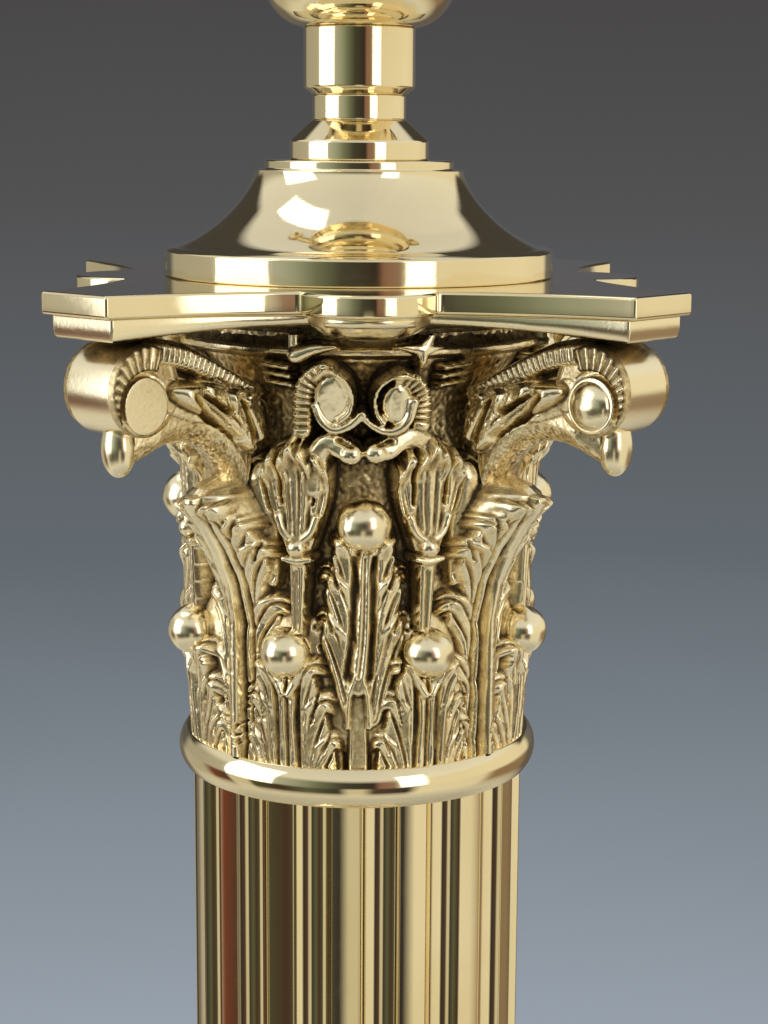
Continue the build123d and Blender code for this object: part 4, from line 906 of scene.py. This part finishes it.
# Patina and painted shade: the bell darkens in its hollows, and more on its low ground between the leaves; polished
# parts stay bright.
bell_patina_and_shade = hollowness(bell_points, bell_normals) + 0.25 * (rough > 0.6)
bell_patina_and_shade = np.where(np.tile(polish, 4), POLISHED, bell_patina_and_shade)
for quarter in range(4):
    columns = np.arange(quarter * RELIEF_COLUMNS, (quarter + 1) * RELIEF_COLUMNS + 1) % (4 * RELIEF_COLUMNS)
    faces = grid_faces(RELIEF_ROWS, len(columns))
    piece = add_mesh(f"leaves_{quarter + 1}", bell_points[:, columns], faces, CAST,
                     normals=bell_normals[:, columns], patina_and_shade=bell_patina_and_shade[:, columns])
    if quarter == 0:
        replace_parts(piece, "capital")


# ---- Capital: balls
def globe(rows, columns, tip):
    """Unit vectors over a sphere from its foot up, as a grid without a cap of angle tip at either end."""
    polar = np.linspace(tip, pi - tip, rows)[::-1, None]
    turn = full_turn(columns)
    return np.stack([np.sin(polar) * np.cos(turn), np.sin(polar) * np.sin(turn), np.cos(polar) + 0 * turn], -1)


def ball(name, radius, angle, out, level):
    """Polished ball with a slightly uneven cast surface."""
    rows, columns = 40, 64
    swell = radius * (1 + 0.072 * smoothed(rng.standard_normal((rows, columns)), 12))
    centre = np.array((out * cos(FRONT + angle), out * sin(FRONT + angle), PLATE_TOP + level))
    add_mesh(name, swell[..., None] * globe(rows, columns, 0.02) + centre, capped_faces(rows, columns), CAST,
             patina_and_shade=np.full(rows * columns, BALL_POLISH))


for face_number in range(4):
    turn = face_number * pi / 2
    ball(f"tall_ball_{face_number + 1}", 4.05, turn - 0.2 / RELIEF_RADIUS, 26.4, -34.2)
    for number, x in enumerate(LOWER_LEAVES):
        ball(f"lower_ball_{2 * face_number + number + 1}", 3.75, turn + x / RELIEF_RADIUS, 27.3, -53.3)


# ---- Capital: corner scrolls
def add_at_corner(name, corner_number, points, faces, normals, patina_and_shade):
    """Adds a piece made in the diagonal's frame (out, across, height) at one corner."""
    heading = FRONT + pi / 4 + corner_number * pi / 2
    basis = np.array([(cos(heading), sin(heading), 0), (-sin(heading), cos(heading), 0), (0, 0, 1)])
    add_mesh(f"{name}_{corner_number + 1}", points @ basis + (0, 0, PLATE_TOP), faces, CAST,
             normals=normals @ basis, patina_and_shade=patina_and_shade)


def bracket():
    """The arm that carries a corner scroll, in the diagonal's frame: points, normals, and patina with painted shade
    in its hollows and on its underside.
    """
    steps, side_steps, under_steps, top_steps = 150, 70, 34, 10
    t = np.linspace(pi / 2, 0, 90)
    foot = np.column_stack([39 - 10.2 * np.sin(t) ** (2 / 1.8), -21.7 - 9 * (1 - np.cos(t) ** (2 / 1.8))])
    out = np.linspace(39, 48.2, 60)[1:]
    keel = np.vstack([foot, np.column_stack([out, -21.7 - 3.3 * ((out - 39) / 9.5) ** 2])])
    travelled = np.concatenate([[0], np.cumsum(np.linalg.norm(np.diff(keel, axis=0), axis=1))])
    s = np.linspace(0, 1, steps)
    keel = np.column_stack([np.interp(s * travelled[-1], travelled, keel[:, i]) for i in (0, 1)])
    crest_out = 25.5 + 22 * s ** 1.1
    crest_up = np.interp(crest_out, (25, 28, 31.5, 36, 40, 44, 47.5),
                         (-15.4, -13.8, -12.0, -9.6, -7.8, -7.0, -6.9))
    crest = np.column_stack([crest_out, smoothed(crest_up[:, None], 40)[:, 0]])
    tall = np.linalg.norm(crest - keel, axis=1)
    rim = keel + (crest - keel) * (np.minimum(3.0, 0.5 * tall) / tall)[:, None]

    def half_width(out):
        return 3.7 + 0.9 * np.clip((42 - out) / 16, 0, 1.1) ** 1.6 - 1.4 * np.clip((out - 44.5) / 3.7, 0, 1)

    side_out, side_up = (rim[:, None, i] + (crest - rim)[:, None, i] * np.linspace(0, 1, side_steps)
                         for i in (0, 1))
    relief = Relief(side_out, side_up, np.zeros_like(side_out))
    relief.swell([(28, -21), (34, -17.5), (43, -14.5)], (3.2, 2.4), (0.8, 0.6))
    relief.ridge([(49, -8.4), (46, -8.5), (43, -8.9), (40, -9.7), (36, -11.4), (31.5, -13.7), (29, -15.2)],
                 (1.7, 1.3), (1.7, 1.2), flat=2.5, ribs=22, rib_height=0.6)
    relief.groove([(46, -10.7), (43, -11.1), (40, -11.8), (37, -13.0)], (0.5, 0.4), 1.2)
    for finger in (((28.6, -22.4), (35.5, -16.4), (43.6, -13.6)), ((28.4, -22.0), (33.6, -16.2), (39.2, -12.9)),
                   ((28.0, -21.5), (30.8, -17.2), (34.2, -14.4)), ((27.6, -21.2), (28.8, -18), (30.5, -14.8))):
        relief.lobe(finger, 2.1, 1, 2.1, vein=0.2, root_share=0.6)
    for start, end, width in (((31.6, -21.7), (40.4, -14.9), 0.65), ((33.4, -17.6), (38.2, -14.9), 0.45),
                              ((28.0, -22.6), (31.3, -16.2), 0.5)):
        relief.groove([start, end], (width, width * 0.5), 2.4)
    side_width = half_width(side_out) + relief.height + grain(side_out.shape, 2, OPEN) * 0.05
    angle = np.linspace(0, pi / 2, under_steps + 1)[1:]
    under_width = half_width(rim[:, 0])[:, None] * np.sin(angle)
    under_out, under_up = (keel[:, None, i] + (rim - keel)[:, None, i] * (1 - np.cos(angle)) for i in (0, 1))
    under_up = under_up + grain(under_out.shape, 1, OPEN) * 0.14
    right = np.concatenate([np.stack([under_out, under_width, under_up], -1),
                            np.stack([side_out[:, 1:], side_width[:, 1:], side_up[:, 1:]], -1)], 1)
    left = right[:, ::-1] * (1, -1, 1)
    middle = np.column_stack([keel[:, 0], np.zeros(steps), keel[:, 1]])[:, None]
    share = np.linspace(1, -1, top_steps + 2)[1:-1]
    top = np.stack([np.broadcast_to(crest[:, :1], (steps, top_steps)), right[:, -1:, 1] * share,
                    crest[:, 1:] + 0.5 * (1 - share ** 4)], -1)
    points = np.concatenate([left, middle, right, top], 1)
    normals = grid_normals(points)
    below = np.abs(np.arange(points.shape[1]) - left.shape[1]) < under_steps
    # Painted shade: the arm's underside is darkened and mottled, and the rest is lightened a little.
    underside_shade = below * (0.25 + 0.35 * grain(points.shape[:2], 2, OPEN)) - 0.12
    return points, normals, hollowness(points, normals) + underside_shade


def drum(flat_eye):
    """One end of a corner scroll as a polar grid: (out, rise, height) with its spiral relief."""
    share = np.concatenate([np.linspace(0.02, 0.97, 58), np.linspace(0.975, 1.0, 6)])[:, None]
    angle = full_turn(DRUM_SPOKES)
    out = DRUM_OUT + DRUM_RADIUS * share * np.cos(angle)
    up = DRUM_DEPTH + DRUM_RADIUS * share * np.sin(angle)
    apart = np.hypot(out - EYE[0], up - EYE[1])
    bearing = np.degrees(np.arctan2(up - EYE[1], out - EYE[0]))
    in_eye = apart < EYE_RADIUS
    rise = np.where((bearing > 100) | (bearing < -120), -1.0, 0.2)
    in_crescent = (apart > 4.75) & (bearing > -28) & (bearing < 112)
    ribs = 0.75 + 0.4 * (np.abs(np.cos(np.radians(bearing) * 16)) - 0.5)
    rise = np.where(in_crescent, ribs, rise)
    fade = np.clip((bearing + 32) / 20, 0, 1)
    rise = np.where((apart > 4.0) & (apart <= 4.8) & (bearing > -32), rise * (1 - fade) - 1.5 * fade, rise)
    eye = 0.2 + 0.25 * np.clip((EYE_RADIUS - apart) / 0.35, 0, 1) ** 0.5
    if not flat_eye:
        eye = eye + 1.5 * np.clip(1 - (apart / 3.3) ** 2, 0, 1) ** 0.6
    edge = np.clip((1 - share) / 0.05, 0, 1)
    rise = np.where(in_eye, eye, rise) * edge - 0.5 * (1 - np.sqrt(1 - (1 - edge) ** 2))
    return out, smoothed(rise, 1) + grain(rise.shape, 2) * np.where(in_eye, 0.005, 0.02), up


def corner_scroll(corner_number):
    """A drum with its two ends, on its arm."""
    points, normals, hollows = arm
    faces = grid_faces(*points.shape[:2], wrap_columns=True)
    add_at_corner("bracket", corner_number, points, faces, normals, hollows)
    ends = []
    for sign, flat_eye in ((-1, False), (1, True)):
        out, rise, up = drum(flat_eye)
        ends.append(np.stack([out, sign * (DRUM_HALF + rise), up], -1))
    band = np.linspace(-1, 1, 26)[1:-1, None]
    angle = full_turn(DRUM_SPOKES)
    radius = DRUM_RADIUS + 0.05 * (1 - band ** 2)
    around_band = np.stack([DRUM_OUT + radius * np.cos(angle), band * (DRUM_HALF - 0.35) + 0 * angle,
                            DRUM_DEPTH + radius * np.sin(angle)], -1)
    grid = np.concatenate([ends[0], around_band, ends[1][::-1]])
    normals = grid_normals(grid)
    # Patina and painted shade darken the scroll's hollows; its band and eye are polished bright.
    hollows = hollowness(grid, normals)
    hollows[len(ends[0]):-len(ends[1])] = DRUM_POLISH
    in_eye = np.hypot(grid[..., 0] - EYE[0], grid[..., 2] - EYE[1]) < EYE_RADIUS - 0.2
    hollows = np.where(in_eye, DRUM_POLISH, hollows)
    add_at_corner("scroll", corner_number, grid, capped_faces(*grid.shape[:2]), normals, hollows)


def tongue(corner_number):
    """Drop-shaped tip under a scroll."""
    unit = globe(36, 48, 0.03)
    full = 1 - 0.12 * unit[..., 2:]
    grid = (49.0, 0, -21.2) + unit * np.concatenate([2.2 * full, 2.6 * full, 4.6 + 0 * full], -1)
    polish = np.full(36 * 48, POLISHED)
    add_at_corner("tongue", corner_number, grid, capped_faces(36, 48), grid_normals(grid), polish)


arm = bracket()
for corner_number in range(4):
    corner_scroll(corner_number)
    tongue(corner_number)


# ---- Capital: its own plate, lip and bosses
def casting_plate():
    """Rough plate under the polished one, thinner in the middle of each side. It is bright on its rubbed edge, and
    painted shade darkens it towards its underside.
    """
    ring = plate_outline(LAYER_INSET)
    sag = np.clip(np.min(np.abs(ring), axis=1) / PLATE_IN, 0, 1) ** 2
    low_edge = PLATE_TOP - LAYER_MIDDLE - (LAYER_CORNER - LAYER_MIDDLE) * sag
    top = PLATE_TOP - PLATE_THICKNESS
    wobble = smoothed(rng.standard_normal((len(ring), 1)), 5)[:, 0] * 0.08
    rings, patina_and_shade = zip(
        ((at_radius(ring, TUBE_HOLE), top), 0), ((inward(ring, 0.3), top), -0.3), ((ring, top - 0.25), -0.8),
        ((ring, top + (low_edge - top) * 0.5), -0.5), ((inward(ring, 0.2 + wobble), low_edge + 0.35), -0.6),
        ((inward(ring, 0.6 + wobble), low_edge), 0.2), ((inward(ring, 2.5), low_edge - 0.1), 0.6),
        ((at_radius(ring, 30), PLATE_TOP - 5.6), 0.9), ((at_radius(ring, 24), PLATE_TOP - 6.4), 0.9),
        ((at_radius(ring, TUBE_HOLE), PLATE_TOP - 6.4), 0.9))
    extruded("casting_plate", [flat_ring(*level) for level in rings], CAST, patina_and_shade=np.repeat(patina_and_shade, len(ring)))


def lip():
    """Grainy cove with a bright edge round the top of the bell. The cove is darkened with patina and painted shade.
    """
    profile = outline((20, -4.4), (27.0, -4.4), through((27.0, -4.4), (27.1, -6.8), (28.4, -8.7)),
                      (28.5, -8.8), (28.5, -9.5), (26.6, -10.6), (20, -10.6), edge=0.25)
    reach = profile[:, :1] + grain((len(profile), 360), 2) * 0.06
    patina_and_shade = np.repeat(np.where(profile[:, :1] > 28.2, -0.2, 0.6), 360, axis=1)
    swept("bell_lip", reach, profile[:, 1:] + PLATE_TOP, CAST, patina_and_shade=patina_and_shade)


def tab_boss(face_number):
    """Three-lobed bowl under a tab of the plate."""
    share = np.linspace(0.03, 1.0, 40)[:, None]
    angle = full_turn(120)
    x = 8.8 * share * np.cos(angle)
    out = 33.5 + 8.1 * share * np.sin(angle)
    slope = x / (1.2 + 0.55 * (out - 28))
    depth = 3.7 * np.sqrt(np.clip(1 - share ** 2.6, 0, 1)) + 0 * angle
    depth = depth - 0.8 * np.exp(-((np.abs(slope) - 0.75) / 0.13) ** 2) * np.clip((1 - share) * 8, 0, 1)
    points = quarter_turned(np.stack([x, -out, PLATE_TOP - 3.1 - depth], -1), face_number)
    normals = grid_normals(points)
    # The bowl is darkened in its hollows with patina and painted shade; elsewhere it is bright.
    add_mesh(f"tab_boss_{face_number + 1}", points, capped_faces(*points.shape[:2], far_end=False), CAST,
             normals=normals, patina_and_shade=hollowness(points, normals) - 0.8)


turned("bell_core", "capital", outline((17.5, BELL_FOOT), (22.9, BELL_FOOT), (22.9, -10), (17.5, -10)), CAST,
       foot=PLATE_TOP)
casting_plate()
lip()
for face_number in range(4):
    tab_boss(face_number)


# ---- Solids that are shown as they are
for material, *nodes in (
        (FELT, "felt_pad"), (PAINTED, "cover_plate"), (IRON, "ballast_weight"), (TINNED, "earth_tag"),
        (ZINC, "cover_screws", "earth_screw", "tie_tube", "tie_washer", "tie_nut", "terminal_screws"),
        (BLACK, "inlet_bush", "inlet_nut"), (BRASS, "holder_cap", "lamp_barrel", "switch_bar"),
        (GLAZED, "holder_core"), (CONTACT, "contact_plunger_left", "contact_plunger_right", "terminal_posts")):
    for node in nodes:
        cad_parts[node].data.materials.clear()
        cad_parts[node].data.materials.append(material)


# ---- Camera
CAMERA_DISTANCE = 322.27          # from the lamp's axis, and height above the plate's top
CAMERA_HEIGHT = 21.18
CAMERA_SIDE = 0.04266             # radians round the lamp towards -X
CAMERA_TURN = 0.0218              # radians
CAMERA_PITCH = 0.1785
CAMERA_ROLL = 0.0074
FOCAL_PIXELS = 2090.9
PICTURE = (768, 1024)
OPTICAL_COLUMN = 402.83
SENSOR = 36.0

heading = CAMERA_SIDE + CAMERA_TURN
camera_data = bpy.data.cameras.new("camera")
camera = add_object("camera", camera_data)
camera_data.sensor_width = SENSOR
camera_data.lens = FOCAL_PIXELS / PICTURE[1] * SENSOR
camera_data.shift_x = (PICTURE[0] / 2 - OPTICAL_COLUMN) / PICTURE[1]
camera_data.clip_start = 0.02
camera.location = Vector((-CAMERA_DISTANCE * sin(CAMERA_SIDE), -CAMERA_DISTANCE * cos(CAMERA_SIDE),
                          PLATE_TOP + CAMERA_HEIGHT)) * MM
ahead = Vector((sin(heading) * cos(CAMERA_PITCH), cos(heading) * cos(CAMERA_PITCH), -sin(CAMERA_PITCH)))
camera.rotation_mode = "QUATERNION"
camera.rotation_quaternion = ahead.to_track_quat("-Z", "Y") @ Quaternion((0, 0, 1), CAMERA_ROLL)
bpy.context.scene.camera = camera

# ---- Floor, backdrop and light: lengths in metres, colours as radiance
FLOOR_HALF = 2.6
BACKDROP_REACH = 2.3              # how far behind the lamp it stands, its radius at the floor, its top
BACKDROP_RADIUS = 0.9
BACKDROP_TOP = 1.8
ROOM_STRENGTH = 1.1
LIGHT_AIM = 0.40
# Painted shade of the backdrop's glow, from its low near part up to its top.
BACKDROP_STOPS = [(0.0, (0.317, 0.362, 0.415)), (0.45, (0.125, 0.144, 0.160)), (0.75, (0.086, 0.085, 0.087)),
                  (1.0, (0.060, 0.056, 0.055))]
# The room's walls by degrees round the lamp: 0 is in front of it and 90 to its right.
WALLS = [(-180, (0.09, 0.09, 0.10)), (-148, (0.10, 0.10, 0.09)), (-140, (0.36, 0.34, 0.27)),
         (-97, (0.42, 0.40, 0.33)), (-94, (0.5, 0.5, 0.45)), (-55, (0.5, 0.5, 0.45)), (-52, (0.40, 0.42, 0.36)),
         (-40, (0.30, 0.33, 0.26)), (-27, (0.15, 0.17, 0.115)), (-12, (0.055, 0.055, 0.04)),
         (8, (0.035, 0.028, 0.022)), (12, (0.24, 0.13, 0.09)), (21, (0.26, 0.17, 0.12)), (24, (0.5, 0.46, 0.36)),
         (42, (0.5, 0.46, 0.36)), (44, (0.74, 0.67, 0.49)), (110, (0.78, 0.71, 0.53)), (136, (0.70, 0.62, 0.45)),
         (142, (0.16, 0.15, 0.13)), (160, (0.10, 0.10, 0.11))]
LOW_WALLS = [(-180, (0.12, 0.11, 0.09)), (-152, (0.16, 0.14, 0.11)), (-144, (0.42, 0.39, 0.30)),
             (-118, (0.42, 0.39, 0.30)), (-108, (0.16, 0.05, 0.03)), (-94, (0.08, 0.045, 0.03)),
             (-90, (0.58, 0.54, 0.42)), (-76, (0.56, 0.52, 0.40)), (-72, (0.07, 0.08, 0.045)),
             (-52, (0.06, 0.035, 0.025)), (-34, (0.10, 0.105, 0.065)), (-14, (0.04, 0.035, 0.03)),
             (-8, (0.56, 0.52, 0.38)), (1, (0.56, 0.51, 0.36)), (8, (0.08, 0.05, 0.035)),
             (30, (0.035, 0.03, 0.03)), (38, (0.72, 0.67, 0.50)), (84, (0.70, 0.64, 0.48)),
             (96, (0.26, 0.18, 0.11)), (130, (0.24, 0.17, 0.10)), (142, (0.12, 0.10, 0.08))]
BEHIND = [(-138, 1), (-130, 0), (126, 0), (133, 1)]
BEHIND_COLOUR = (0.055, 0.050, 0.042)
# By height: 0 is straight down, 0.5 level and 1 straight up.
LOW_SHARE = [(0.40, 1), (0.455, 0)]
BEHIND_SHARE = [(0.56, 0), (0.60, 1), (0.79, 1), (0.83, 0)]
ENDS = [(0.0, (0.82, 0.78, 0.64)), (0.30, (0.72, 0.68, 0.54)), (0.5, 0.4), (0.68, (0.78, 0.77, 0.70)),
        (1.0, (0.62, 0.61, 0.56))]
END_SHARE = [(0.16, 1), (0.29, 0), (0.62, 0), (0.72, 0.85), (1.0, 0.95)]


def backdrop():
    """Pale floor that curves up into a backdrop behind the lamp. Seen by the camera, its far part glows with painted
    shade, darker towards its top.
    """
    bend, radius = BACKDROP_REACH - BACKDROP_RADIUS, BACKDROP_RADIUS
    path = [(y, 0.0) for y in np.linspace(-FLOOR_HALF, bend, 60)]
    path += [(bend + radius * sin(a), radius - radius * cos(a)) for a in np.linspace(0, pi / 2, 40)[1:]]
    path += [(BACKDROP_REACH, z) for z in np.linspace(radius, BACKDROP_TOP, 12)[1:]]
    across = np.linspace(-FLOOR_HALF, FLOOR_HALF, 40)
    points = np.array([[(x, y, z) for x in across] for y, z in path])
    eye = np.array(camera.location)
    slope = (points[..., 2] - eye[2]) / np.linalg.norm(points[..., :2] - eye[:2], axis=-1)
    floor = add_smooth("backdrop", points, grid_faces(len(path), len(across)),
                       {"shade": np.clip((slope + 0.45) / 0.55, 0, 1)})

    paint = Paint("backdrop", Roughness=0.9)
    shade = paint.node("Attribute", {"attribute_name": "shade"}).outputs["Fac"]
    mist = paint.noise(1.2, 2)
    colour = paint.ramp(paint.maths("ADD", shade, paint.span(mist, 0.3, 0.7, -0.02, 0.02)), BACKDROP_STOPS)
    paint.finish(paint.ramp(mist, [(0.3, (0.60, 0.59, 0.56)), (0.7, (0.64, 0.63, 0.60))]))
    # Glow with painted shade, shown to the camera on the far part of the floor and backdrop.
    glow = paint.node("Emission", Color=colour, Strength=1.0).outputs[0]
    place = paint.node("SeparateXYZ", Vector=paint.place)
    away = paint.node("VectorMath", {"operation": "LENGTH"})
    paint.feed(away.inputs[0], paint.node("CombineXYZ", X=place.outputs[0], Y=place.outputs[1]).outputs[0])
    far = paint.span(away.outputs["Value"], 0.25, 0.62, 0.0, 1.0)
    rays = paint.node("LightPath")
    seen = paint.maths("MULTIPLY", rays.outputs["Is Camera Ray"], far)
    mirrored = paint.maths("MULTIPLY", rays.outputs["Is Glossy Ray"], far)
    shown = paint.mix_shader(seen, paint.surface.outputs[0], glow)
    shown = paint.mix_shader(mirrored, shown, paint.node("BsdfTransparent").outputs[0])
    paint.feed(paint.tree.nodes["Material Output"].inputs["Surface"], shown)
    floor.data.materials.append(paint.material)


def room():
    """World light: panels round the lamp by their direction, seen in its polish."""
    world = bpy.data.worlds.new("room")
    bpy.context.scene.world = world
    sky = Graph(world)
    way = sky.node("SeparateXYZ", Vector=sky.node("TexCoord").outputs["Generated"])
    turn = sky.maths("ARCTAN2", way.outputs[0], sky.maths("MULTIPLY", way.outputs[1], -1.0))
    azimuth = sky.maths("ADD", sky.maths("DIVIDE", turn, 2 * pi), 0.5)
    height = sky.maths("ADD", sky.maths("MULTIPLY", way.outputs[2], 0.5), 0.5)

    def by_azimuth(stops):
        return sky.ramp(azimuth, [(0.5 + degrees / 360, colour) for degrees, colour in stops])

    walls = sky.mix(sky.ramp(height, LOW_SHARE), by_azimuth(WALLS), by_azimuth(LOW_WALLS))
    panels = sky.mix(sky.ramp(height, END_SHARE), walls, sky.ramp(height, ENDS))
    behind = sky.maths("MULTIPLY", by_azimuth(BEHIND), sky.ramp(height, BEHIND_SHARE))
    light = sky.mix(behind, panels, (*BEHIND_COLOUR, 1))
    lit = sky.node("Background", Color=light, Strength=ROOM_STRENGTH).outputs[0]
    seen = sky.node("Background", Color=(*BACKDROP_STOPS[-1][1], 1), Strength=1.0).outputs[0]
    shown = sky.mix_shader(sky.node("LightPath").outputs["Is Camera Ray"], lit, seen)
    sky.feed(sky.tree.nodes["World Output"].inputs["Surface"], shown)


def softbox(name, azimuth, elevation, distance, width, height, radiance):
    """Flat area light that faces the capital. Its radiance is the same wherever it stands."""
    light = bpy.data.lights.new(name, "AREA")
    light.shape = "RECTANGLE"
    light.size, light.size_y = width, height
    light.energy = radiance * pi * width * height
    panel = add_object(name, light)
    a, e = radians(azimuth), radians(elevation)
    aim = Vector((sin(a) * cos(e), -cos(a) * cos(e), sin(e)))
    panel.location = Vector((0, 0, LIGHT_AIM)) + aim * distance
    panel.rotation_euler = aim.to_track_quat("Z", "Y").to_euler()


backdrop()
room()
softbox("left_softbox", azimuth=-74, elevation=12, distance=1.2, width=0.83, height=1.1, radiance=1.5)
softbox("right_strip", azimuth=33, elevation=12, distance=1.5, width=0.475, height=1.1, radiance=1.5)
softbox("ceiling_panel", azimuth=-105, elevation=63, distance=1.3, width=0.46, height=0.60, radiance=1.4)

bpy.context.scene.view_settings.view_transform = "Standard"
